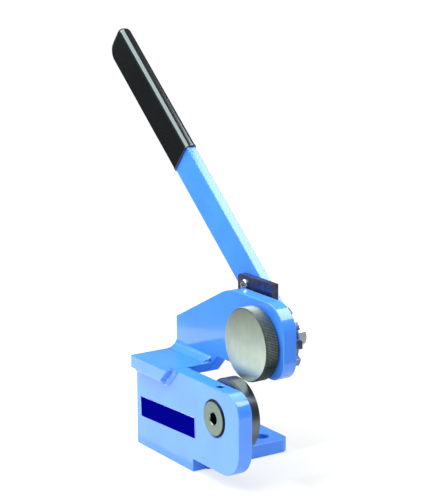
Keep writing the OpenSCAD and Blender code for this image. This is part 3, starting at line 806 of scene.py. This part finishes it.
disc = round_bar("ground_lower_cutter", journal_axis, disc_low.y, disc_high.y, disc_r, sides=192)
bevel(disc, lambda edge: lies(edge, y=disc_low.y), disc_chamfer)
bevel(disc, lambda edge: lies(edge, y=disc_high.y), shear_edge)
bore(disc, journal_axis, disc_low.y, disc_high.y, disc_bore_r)
cut(disc, round_bar("recess", journal_axis, disc_high.y - recess_depth, disc_high.y + OVERRUN, recess_r))
smooth(disc, sharp_deg=25)
dress(disc, "lower_cutter", "lower_cutter", "cutter_steel", rim_steel, face_steel, edge_steel, disc_steel,
      dark_steel)
finish_faces(disc, 1, lambda face: face.normal.y > SQUARE_ON)
finish_faces(disc, 2, lambda face: BEVELLED < face.normal.y < SQUARE_ON)
finish_faces(disc, 3, lambda face: face.normal.y < -SQUARE_ON)
finish_faces(disc, 4, lambda face: -SQUARE_ON < face.normal.y < -BEVELLED)

# %% [markdown]
# ## The drive
# The upper cutter pulls the sheet through with 150 serrations across its rim. Its blank is a disc with twice
# as many sides as serrations. Both end faces are extruded and drawn in, which leaves 45 degree chamfers.

# %% Upper cutter blank
cutter_low, cutter_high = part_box("upper_cutter")
cutter_r = (cutter_high.z - cutter_low.z) / 2
serrations = 150
cutter_chamfer = 1.5 * mm

cutter = round_bar("serrated_upper_cutter", drive_axis, cutter_low.y + cutter_chamfer,
                   cutter_high.y - cutter_chamfer, cutter_r, sides=2 * serrations)
for outward in (-1, 1):
    edit(cutter, "FACE", lambda face: face.normal.y * outward > SQUARE_ON)
    bpy.ops.mesh.extrude_region_move(TRANSFORM_OT_translate={"value": (0, outward * cutter_chamfer, 0)})
    draw_in(drive_axis, (cutter_r - cutter_chamfer) / cutter_r)
print("blank of", round(cutter_r / mm, 2), "mm radius")

# %% [markdown]
# Every second line of the rim is drawn in towards the axis, which cuts all the serrations at once. Each
# valley also runs out along the chamfer, so the teeth show at its edge.

# %% Serrations
serration_depth = 0.8 * mm


def every_second(vert):
    """True on every second line of the rim, by its angle about the axis."""
    angle = Vector((vert.co.x - drive_axis.x, vert.co.z - drive_axis.z)).angle_signed(Vector((0, 1)))
    return round(angle / pi * serrations) % 2 == 0


for outward, rim_y in ((-1, cutter_low.y + cutter_chamfer), (1, cutter_high.y - cutter_chamfer)):
    valleys = edit(cutter, "VERT", lambda vert: near(vert.co.y, rim_y) and every_second(vert))
    draw_in(drive_axis, (cutter_r - serration_depth) / cutter_r)
    bpy.ops.transform.translate(value=(0, outward * serration_depth, 0))
    print("valleys", valleys)

# %% [markdown]
# From behind the blank gets a blind bore and a keyway for the shaft. The flat faces are ground, and the
# flanks that push the sheet are light, as worn by the sheet and as a painted highlight.

# %% Upper cutter
shaft_bore_r = 12.02 * mm
blind_wall = 4.6 * mm
key_w, keyway_reach = 6 * mm, 15.02 * mm
driving_flank = 0.4


def drives(face):
    """True on the flank of a serration that pushes the sheet as the cutter turns."""
    spoke = face.center - on_axis(drive_axis, face.center.y)
    around = Vector((spoke.z, 0, -spoke.x)).normalized()
    return face.normal.dot(around) > driving_flank


cut(cutter, round_bar("blind_bore", drive_axis, cutter_low.y + blind_wall, cutter_high.y + OVERRUN,
                      shaft_bore_r))
keyway = block("keyway", (drive_axis.x - key_w / 2 - TOUCH, cutter_low.y + blind_wall, drive_axis.z),
               (drive_axis.x + key_w / 2 + TOUCH, cutter_high.y + OVERRUN, drive_axis.z + keyway_reach))
cut(cutter, keyway)
smooth(cutter, sharp_deg=12)
dress(cutter, "upper_cutter", "drive", "cutter_steel", scaled_steel, face_steel, wear_and_flank_highlight_steel)
finish_faces(cutter, 1, lambda face: abs(face.normal.y) > SQUARE_ON)
# Partly wear, partly painted highlight: the driving flank of each serration takes the light finish.
finish_faces(cutter, 2, drives)

# %% [markdown]
# The drive shaft steps down from the cutter to the nut. Each step is the end face inset to the next size and
# extruded. Two slots take the keys of the cutter and of the ratchet wheel.

# %% Drive shaft
shaft_low, shaft_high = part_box("drive_shaft")
wheel_low, wheel_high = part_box("ratchet_wheel")
washer_low, washer_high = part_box("shaft_washer")
nut_low, nut_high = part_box("shaft_nut")
shaft_r, wheel_seat_r, lever_seat_r, thread_r = 12 * mm, 11 * mm, 10 * mm, 7 * mm
thread_core_r = 5.8 * mm
shaft_edge = 0.25 * mm

spindle = round_bar("turned_drive_shaft", drive_axis, shaft_low.y, wheel_low.y, shaft_r)
turn_down(spindle, wheel_low.y, wheel_high.y, shaft_r, wheel_seat_r)
turn_down(spindle, wheel_high.y, washer_low.y, wheel_seat_r, lever_seat_r)
turn_down(spindle, washer_low.y, shaft_high.y, lever_seat_r, thread_core_r)
slack = Vector((TOUCH, TOUCH, TOUCH))
for key_node in ("cutter_key", "ratchet_key"):
    key_low, key_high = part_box(key_node)
    cut(spindle, block("slot", key_low - slack, key_high + slack))
break_edges(spindle, shaft_edge, segments=2)
print("shaft", round((shaft_high.y - shaft_low.y) / mm, 1), "mm long")

# %% [markdown]
# The thread at the shaft's end is real: a small triangle is swept up a helix by the Screw modifier, its two
# ends are closed, and the coil is joined onto the shaft's core.

# %% Thread
thread_pitch, thread_profile_r = 2 * mm, 1.1 * mm
thread_turns = 5
thread_end_gap = 1.2 * mm

thread_start = shaft_high.y - thread_end_gap - thread_turns * thread_pitch
helix_steps = 40 * thread_turns
thread = stock("thread", bpy.ops.mesh.primitive_circle_add, vertices=3, radius=thread_profile_r,
               rotation=(pi / 2, pi / 2, 0), location=(thread_r - thread_profile_r, 0, 0))
modify(thread, "SCREW", axis="Z", angle=2 * pi * thread_turns, screw_offset=thread_pitch * thread_turns,
       steps=helix_steps, render_steps=helix_steps)
edit(thread, "EDGE", lambda edge: edge.is_boundary)
bpy.ops.mesh.fill_holes(sides=4)
bpy.ops.mesh.select_all(action="SELECT")
bpy.ops.mesh.normals_make_consistent(inside=False)
combine(spindle, set_down(thread, on_axis(drive_axis, thread_start), -pi / 2, "X"), "UNION")
dress(spindle, "drive_shaft", "drive", "ground_steel", shaft_steel)

# %% [markdown]
# The ratchet wheel has twelve square teeth. One tooth is modelled as a block, copied round the wheel at 30
# degrees with its own mesh each time, and joined to a round body. A round bar of the tip size trims them all
# to the same radius.

# %% Ratchet wheel
MILLED_EDGE = 0.35 * mm
teeth = 12
tooth_w = 8.5 * mm
tooth_phase = radians(3.5)
wheel_tip_r, wheel_root_r = 38 * mm, 32 * mm
wheel_bore_r = 11.02 * mm

wheel = round_bar("milled_ratchet_wheel", drive_axis, wheel_low.y, wheel_high.y, wheel_root_r, sides=120)
for number in range(teeth):
    tooth = block("tooth", (wheel_root_r / 2, wheel_low.y, -tooth_w / 2),
                  (wheel_tip_r + OVERRUN, wheel_high.y, tooth_w / 2))
    set_down(tooth, on_axis(drive_axis), -tooth_phase - number * 2 * pi / teeth)
    combine(wheel, tooth, "UNION")
trim = round_bar("trim", drive_axis, wheel_low.y - OVERRUN, wheel_high.y + OVERRUN, wheel_tip_r, sides=180)
combine(wheel, trim, "INTERSECT")
bore(wheel, drive_axis, wheel_low.y, wheel_high.y, wheel_bore_r)
key_low, key_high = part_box("ratchet_key")
keyway = block("keyway", (key_low.x - TOUCH, wheel_low.y - OVERRUN, drive_axis.z),
               (key_high.x + TOUCH, wheel_high.y + OVERRUN, key_high.z + TOUCH))
cut(wheel, keyway)
break_edges(wheel, MILLED_EDGE, segments=2)
dress(wheel, "ratchet_wheel", "drive", "black_oxide_steel", oxide)

# %% [markdown]
# A washer and a hexagon nut hold the lever on. The nut's corners are turned off at a slant on both ends,
# which is what gives a real nut its curved corner lines. A round bar with wide chamfers, kept only where it
# meets the hexagon, does that.

# %% Washer and nut
washer_r = (washer_high.z - washer_low.z) / 2
clearance_r = 7.05 * mm
nut_af = 22 * mm
nut_chamfer = 1.3 * mm
washer_edge, nut_edge = 0.3 * mm, 0.2 * mm

washer = round_bar("zinc_shaft_washer", drive_axis, washer_low.y, washer_high.y, washer_r)
bore(washer, drive_axis, washer_low.y, washer_high.y, clearance_r)
break_edges(washer, washer_edge, segments=2)
dress(washer, "shaft_washer", "drive", "zinc_plated_steel", zinc)

nut_corner_r = hexagon_r(nut_af)
nut = round_bar("zinc_shaft_nut", drive_axis, nut_low.y, nut_high.y, nut_corner_r, sides=6)
turned = round_bar("turned", drive_axis, nut_low.y, nut_high.y, nut_corner_r + TOUCH)
for outward in (-1, 1):
    end_y = nut_high.y if outward > 0 else nut_low.y
    edit(turned, "FACE", lambda face: face.normal.y * outward > SQUARE_ON)
    bpy.ops.mesh.inset(thickness=nut_corner_r + TOUCH - nut_af / 2)
    move(turned, lambda vert: near(vert.co.y, end_y) and off_axis(vert.co, drive_axis) > nut_af / 2 + TOUCH,
         (0, -outward * nut_chamfer, 0))
combine(nut, turned, "INTERSECT")
bore(nut, drive_axis, nut_low.y, nut_high.y, thread_r + TOUCH)
break_edges(nut, nut_edge, segments=2, sharper_deg=25)
dress(nut, "shaft_nut", "drive", "zinc_plated_steel", zinc)

# %% [markdown]
# ## The lever
# The lever is modelled standing up, with its foot on the drive axis, and is then leaned over about that axis
# with its place put into the mesh. It is flat bar with a round foot and two holes. The round foot is the
# bar's own end with both corners rounded by half its width.

# %% Lever bar
lever_lean = radians(50.25)
lever_w = 37 * mm
lever_l = 423 * mm
lever_low, lever_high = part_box("lever_bar")
lever_bore_r = 13.07 * mm
pawl_arm = 71.5 * mm
pawl_screw_r = 4 * mm
lever_end_r = 11 * mm

bar = block("painted_lever_bar", (-lever_w / 2, lever_low.y, -lever_w / 2),
            (lever_w / 2, lever_high.y, lever_l))
for side in (-1, 1):
    round_corner(bar, side * lever_w / 2, lever_l, lever_end_r, segments=14)
    round_corner(bar, side * lever_w / 2, -lever_w / 2, lever_w / 2 - TOUCH, segments=28)
bore(bar, Vector((0, 0, 0)), lever_low.y, lever_high.y, lever_bore_r)
bore(bar, Vector((0, 0, pawl_arm)), lever_low.y, lever_high.y, pawl_screw_r + TOUCH, sides=48)
set_down(bar, on_axis(drive_axis), -lever_lean)
paint(bar, "lever_bar", body="lever")

# %% [markdown]
# The grip was slid on hot over the bar's end. Outside it is a block round the bar with its four long edges
# rounded, a big radius at the lower far corner, a smaller one at the upper and a soft far end.

# %% Grip, outside
grip_l = 183 * mm
grip_wall = 2.5 * mm
grip_cap = 5 * mm
grip_low_r, grip_top_r = 16 * mm, 9 * mm
grip_edge_r = 6 * mm
grip_end = lever_l + grip_cap
grip_start = grip_end - grip_l
grip_mid_y = (lever_low.y + lever_high.y) / 2
half_w = lever_w / 2 + grip_wall
half_t = (lever_high.y - lever_low.y) / 2 + grip_wall

grip = block("dipped_lever_grip", (-half_w, grip_mid_y - half_t, grip_start),
             (half_w, grip_mid_y + half_t, grip_end))
round_corner(grip, -half_w, grip_end, grip_low_r, segments=16)
round_corner(grip, half_w, grip_end, grip_top_r, segments=16)
bevel(grip, lambda edge: len(edge.link_faces) == 2 and edge.calc_face_angle() > radians(60)
      and not lies(edge, z=grip_start), grip_edge_r, segments=8)
print("grip", round(grip_l / mm), "mm long")

# %% [markdown]
# Its mouth has a thin rolled lip, made by drawing in the rest of the sleeve by a fraction of a millimetre. A
# block the size of the bar hollows it, and the mouth's outer edge is rounded last.

# %% Grip, mouth and inside
lip_w, lip_rise = 2.2 * mm, 0.35 * mm
mouth_edge = 0.5 * mm

for cut_z in (grip_start + lip_w, grip_start + lip_w + lip_rise):
    score(grip, (0, 0, cut_z), (0, 0, 1))
edit(grip, "VERT", lambda vert: vert.co.z > grip_start + lip_w + TOUCH)
bpy.ops.transform.resize(value=((half_w - lip_rise) / half_w, (half_t - lip_rise) / half_t, 1),
                         center_override=(0, grip_mid_y, 0))
hollow = block("hollow", (-lever_w / 2 - TOUCH, lever_low.y - TOUCH, grip_start - OVERRUN),
               (lever_w / 2 + TOUCH, lever_high.y + TOUCH, lever_l + TOUCH))
for side in (-1, 1):
    round_corner(hollow, side * (lever_w / 2 + TOUCH), lever_l + TOUCH, lever_end_r + TOUCH, segments=14)
cut(grip, hollow)
bevel(grip, lambda edge: lies(edge, z=grip_start) and (abs(edge.verts[0].co.x) > lever_w / 2 + OVERRUN
      or abs(edge.verts[0].co.y - grip_mid_y) > half_t - OVERRUN), mouth_edge, segments=3)
set_down(grip, on_axis(drive_axis), -lever_lean)
smooth(grip, sharp_deg=35)
dress(grip, "lever_grip", "lever", "black_vinyl", vinyl)

# %% [markdown]
# ## The pawl
# The pawl is a short square-cut bar. Its nose hangs from the bar's underside: two cuts mark its width on the
# bar, the strip between them is extruded down into a gap of the wheel, and its inner side is drawn in to a
# slope. Beside the nose the bar's end is moved up clear of the next tooth. The tail's corners are rounded.

# %% Pawl
pawl_low, pawl_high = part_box("pawl")
pawl_h = 20 * mm
pawl_tail_r = 5 * mm
pawl_bore_r = 4.05 * mm
nose_w, nose_slope = 7 * mm, 2 * mm
nose_backlash = 1.2 * mm
tip_clearance, tip_slope = 0.8 * mm, 0.8
pawl_under = pawl_high.z - pawl_h
drive_tooth = tooth_phase + pi / 2
flank_x = drive_axis.x + wheel_tip_r * cos(drive_tooth) - tooth_w / 2 * sin(drive_tooth)
nose_x = flank_x - nose_backlash

pawl = block("machined_pawl", (pawl_low.x, pawl_low.y, pawl_under), pawl_high)
for cut_x in (nose_x, nose_x - nose_w - nose_slope):
    score(pawl, (cut_x, 0, 0), (1, 0, 0))
edit(pawl, "FACE", lambda face: face.normal.z < -SQUARE_ON and nose_x - nose_w - nose_slope
     < face.calc_center_median().x < nose_x)
bpy.ops.mesh.extrude_region_move(TRANSFORM_OT_translate={"value": (0, 0, pawl_low.z - pawl_under)})
move(pawl, lambda vert: near(vert.co.z, pawl_low.z) and vert.co.x < nose_x - nose_w, (nose_slope, 0, 0))
step_end_z = drive_axis.z + wheel_tip_r + tip_clearance
step_root_z = step_end_z - tip_slope * (pawl_high.x - nose_x)
for corner_x, corner_z in ((pawl_high.x, step_end_z), (nose_x, step_root_z)):
    move(pawl, lambda vert: near(vert.co.x, corner_x) and near(vert.co.z, pawl_under),
         (0, 0, corner_z - pawl_under))
for corner_z in (pawl_high.z, pawl_under):
    round_corner(pawl, pawl_low.x, corner_z, pawl_tail_r, segments=10)
bore(pawl, pawl_axis, pawl_low.y, pawl_high.y, pawl_bore_r, sides=48)
break_edges(pawl, MILLED_EDGE, segments=2, sharper_deg=25)
dress(pawl, "pawl", "pawl", "black_oxide_steel", oxide)

# %% [markdown]
# The pawl turns on a pan head screw. The head is a short disc whose front edge is bevelled so widely that it
# becomes a dome. Two tapered blades, crossed, are cut out of it for the screwdriver.

# %% Pawl screw
screw_low, screw_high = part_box("pawl_screw")
screw_head_r = (screw_high.z - screw_low.z) / 2
screw_head_t = pawl_low.y - screw_low.y
head_crown = 0.8 * screw_head_t
cross_l, cross_w, cross_depth = 6.4 * mm, 1.6 * mm, 1.7 * mm
blade_taper = (0.55, 1, 0.7)
cross_turn = radians(20)
cross_mid_depth, cross_reach = 0.5 * cross_depth, 0.45 * cross_l

screw = round_bar("zinc_pawl_screw", pawl_axis, screw_low.y, pawl_low.y, screw_head_r, sides=64)
turn_down(screw, pawl_low.y, screw_high.y, screw_head_r, pawl_screw_r)
bevel(screw, lambda edge: lies(edge, y=screw_low.y), head_crown, segments=8)
half_blade = Vector((cross_l / 2, cross_depth, cross_w / 2))
for turn in (cross_turn, cross_turn + pi / 2):
    blade = block("blade", -half_blade, half_blade)
    edit(blade, "VERT", lambda vert: vert.co.y > 0)
    bpy.ops.transform.resize(value=blade_taper, center_override=(0, 0, 0))
    cut(screw, set_down(blade, on_axis(pawl_axis, screw_low.y), turn))
break_edges(screw, FINE_EDGE, segments=2, sharper_deg=40)
dress(screw, "pawl_screw", "lever", "zinc_plated_steel", zinc, oxide_and_recess_shade)
# Painted shade: the faces inside the cross recess take the deep black.
finish_faces(screw, 1, lambda face: screw_low.y + cross_mid_depth < face.center.y < pawl_low.y
             and off_axis(face.center, pawl_axis) < cross_reach)

# %% [markdown]
# The set screw locks the eccentric shaft from above. It is a headless hexagon socket screw, sunk a little
# below the plate's top edge.

# %% Set screw
set_low, set_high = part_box("set_screw")
set_r = (set_high.x - set_low.x) / 2
set_af, set_depth, set_chamfer = 4 * mm, 4 * mm, 0.6 * mm

set_screw = upright_bar("socket_set_screw", eccentric_axis.x, plate_mid_y, set_low.z, set_high.z, set_r,
                        sides=48)
bevel(set_screw, lambda edge: lies(edge, z=edge.verts[0].co.z), set_chamfer, segments=2)
cut(set_screw, upright_bar("socket", eccentric_axis.x, plate_mid_y, set_high.z - set_depth,
                           set_high.z + OVERRUN, hexagon_r(set_af), sides=6))
smooth(set_screw)
dress(set_screw, "set_screw", "frame", "black_oxide_steel", oxide_and_recess_shade)

# %% [markdown]
# ## Pieces that stay as they came
# The bushes, keys, spacer and retaining pieces are small and mostly hidden, and their CAD shapes are already
# right. Each only takes its finish.

# %% Small CAD nodes
bushes = ("front_arm_bush", "rear_arm_bush", "lower_bush", "lever_bush")
fixings = ("cutter_key", "ratchet_key", "ratchet_spacer", "retaining_washer", "retaining_screw")
for names, finish in ((bushes, bronze), (fixings, zinc)):
    for name in names:
        frame["nodes"][name].data.materials.clear()
        frame["nodes"][name].data.materials.append(finish)
    print(finish.name, "on", ", ".join(names))

# %% [markdown]
# ## The studio
# The photograph was burnt out to pure white round the shear. The table here is a round, pale one, and for the
# camera alone it glows a little and fades to the white room at its rim, so no horizon shows. Light, shadow
# and reflection still treat it as a plain matt table.

# %% Table
table_r = 1.3
fade_start, fade_end = 0.35, 1.1
paper_white = 1.02


def burnt_out_table():
    """A matt table that the camera sees fade to white."""
    finish, tree, shader, place = new_finish("pale_table", 0.0, 0.75)
    fibre = add_node(tree, "ShaderNodeTexNoise", {"Vector": place, "Scale": per(200 * mm), "Detail": 2.0})
    mottle(tree, shader, fibre.outputs["Fac"], "#d6d7d8", "#dadbdc")
    out = add_node(tree, "ShaderNodeVectorMath", {0: place}, operation="LENGTH").outputs["Value"]
    fade = add_node(tree, "ShaderNodeMapRange", {"Value": out, "From Min": fade_start, "From Max": fade_end,
                                                 "To Min": 0.6, "To Max": 1.0})
    ray = add_node(tree, "ShaderNodeLightPath")
    share = add_node(tree, "ShaderNodeMath", {0: fade.outputs[0], 1: ray.outputs["Is Camera Ray"]},
                     operation="MULTIPLY")
    glow = add_node(tree, "ShaderNodeEmission", {"Color": (1, 1, 1, 1), "Strength": paper_white})
    seen = add_node(tree, "ShaderNodeMixShader", {0: share.outputs[0], 1: shader.outputs[0],
                                                  2: glow.outputs[0]})
    tree.links.new(seen.outputs[0], tree.nodes["Material Output"].inputs["Surface"])
    return finish


fresh()
bpy.ops.mesh.primitive_circle_add(vertices=96, radius=table_r, fill_type="NGON", location=(0, 0, -0.2 * mm))
table = bpy.context.object
table.name = "table"
table.data.materials.append(burnt_out_table())
print("table", table_r, "m in radius")

# %% [markdown]
# Gloss paint and bare steel show what they mirror. A photographer lays cards just outside the picture for
# them: white ones, which turn the front plate and the sides pale, and dark ones beyond, which keep the arm,
# the lever and the arm's nose a deep blue. These are seen by reflections only. The two shade cards work the
# other way round: they are seen by diffuse light only, and hold back what the white table would throw up
# under the throat and the frame.

# %% Cards
camera_az = radians(56.68)
across = Vector((cos(camera_az), sin(camera_az), 0))
behind = Vector((0.835, 0.549, 0))
square_to_plates = Vector((0, 1, 0))


def card(name, level, start, end, outward, height, breadth=4.0, aside=(0, 0, 0)):
    """A glowing card laid flat between two distances outward, seen by reflections only."""
    finish = bpy.data.materials.new(name)
    finish.use_nodes = True
    tree = finish.node_tree
    tree.nodes.clear()
    glow = add_node(tree, "ShaderNodeEmission", {"Color": (level, level, level, 1), "Strength": 1.0})
    add_node(tree, "ShaderNodeOutputMaterial", {"Surface": glow.outputs[0]})
    fresh()
    bpy.ops.mesh.primitive_plane_add(size=1)
    made = bpy.context.object
    made.name = name
    middle = outward * (start + end) / 2 + Vector((0, 0, height)) + Vector(aside)
    made.matrix_world = (Matrix.Translation(middle)
                         @ outward.to_track_quat("X", "Z").to_matrix().to_4x4()
                         @ Matrix.Diagonal((end - start, breadth, 1, 1)))
    made.data.materials.append(finish)
    made.visible_camera = made.visible_diffuse = made.visible_shadow = made.visible_transmission = False
    print(name, "glows at", level)
    return made


card("front_white_card", 1.95, start=80 * mm, end=0.9, outward=-square_to_plates, height=1 * mm, breadth=2.4)
card("side_white_card", 1.6, start=0.14, end=0.6, outward=behind, height=1 * mm, breadth=0.8)
card("far_dark_card", 0.1, start=0.442, end=4.0, outward=-across, height=2 * mm)
card("rear_dark_card", 0.3, start=0.45, end=4.0, outward=behind, height=3 * mm)
throat_shade = card("throat_shade_card", 0.15, start=0.0, end=0.4, outward=square_to_plates, height=5 * mm,
                    breadth=0.34, aside=(0.3, 0, 0))
under_shade = card("under_shade_card", 0.0, start=60 * mm, end=0.36, outward=square_to_plates, height=4 * mm,
                   breadth=0.32, aside=(-0.1, 0, 0))
for shade in (throat_shade, under_shade):
    shade.visible_diffuse, shade.visible_glossy = True, False

# %% [markdown]
# Three softboxes light the shear. A long narrow one hangs overhead and a little behind: the lever's upper
# edge and the arm's round nose mirror it as a pale band. A large one hangs overhead in front and lights the
# tops and the shelf. A weak one fills the front.

# %% Softboxes
def softbox(name, direction, distance, width, height, watts):
    """A rectangular light that hangs in a direction from the shear's middle and faces it."""
    light = bpy.data.lights.new(name, "AREA")
    light.shape, light.size, light.size_y = "RECTANGLE", width, height
    light.energy = watts
    lamp = bpy.data.objects.new(name, light)
    bpy.context.scene.collection.objects.link(lamp)
    aim = Vector(direction).normalized()
    middle = Vector((40 * mm, 0, 160 * mm))
    lamp.matrix_world = (Matrix.Translation(middle + aim * distance)
                         @ aim.to_track_quat("Z", "Y").to_matrix().to_4x4())
    print(name, watts, "W")


softbox("overhead_softbox", (0.33, 0.504, 0.798), distance=1.59, width=1.4, height=0.75, watts=24)
softbox("front_overhead_softbox", (-0.25, -0.42, 0.87), distance=1.9, width=2.4, height=2.0, watts=96)
softbox("front_softbox", (-0.15, -0.88, 0.42), distance=1.8, width=1.5, height=1.2, watts=2)

# %% [markdown]
# The room differs by the kind of ray that looks at it. The camera sees white paper, matt surfaces get a faint
# cool fill, and what is mirrored is a dim grey room, so that steel isn't flat white.

# %% Room
world = bpy.data.worlds.new("studio")
bpy.context.scene.world = world
world.use_nodes = True
tree = world.node_tree
tree.nodes.clear()
room = add_node(tree, "ShaderNodeBackground", {"Color": (0.24, 0.24, 0.25, 1), "Strength": 1.0})
paper = add_node(tree, "ShaderNodeBackground", {"Color": (1, 1, 1, 1), "Strength": paper_white})
fill = add_node(tree, "ShaderNodeBackground", {"Color": (0.3, 0.4, 0.54, 1), "Strength": 1.0})
ray = add_node(tree, "ShaderNodeLightPath")
lit = add_node(tree, "ShaderNodeMixShader", {0: ray.outputs["Is Diffuse Ray"], 1: room.outputs[0],
                                             2: fill.outputs[0]})
seen = add_node(tree, "ShaderNodeMixShader", {0: ray.outputs["Is Camera Ray"], 1: lit.outputs[0],
                                              2: paper.outputs[0]})
add_node(tree, "ShaderNodeOutputWorld", {"Surface": seen.outputs[0]})
bpy.context.scene.view_settings.view_transform = "Standard"
print("room with", len(tree.nodes), "nodes")

# %% [markdown]
# The camera stands where the photograph was taken from: 57 degrees round from the front, 13 degrees above
# the table, on a long lens. Its three axes come from those angles and a tiny roll.

# %% Camera
camera_el, camera_roll = radians(13.13), radians(-0.22)
camera_place = Vector((1525.14, -997.48, 640.49)) * mm
back = Vector((sin(camera_az) * cos(camera_el), -cos(camera_az) * cos(camera_el), sin(camera_el)))
up = back.cross(across)
rolled_right = across * cos(camera_roll) + up * sin(camera_roll)
rolled_up = up * cos(camera_roll) - across * sin(camera_roll)
lens = bpy.data.cameras.new("long_lens")
lens.sensor_width = 36
lens.lens = 128.4
lens.clip_start, lens.clip_end = 0.05, 60
camera = bpy.data.objects.new("camera", lens)
bpy.context.scene.collection.objects.link(camera)
turn = Matrix((rolled_right, rolled_up, back)).transposed().to_4x4()
camera.matrix_world = Matrix.Translation(camera_place) @ turn
bpy.context.scene.camera = camera
print("camera", tuple(camera_place), "lens", lens.lens, "mm")
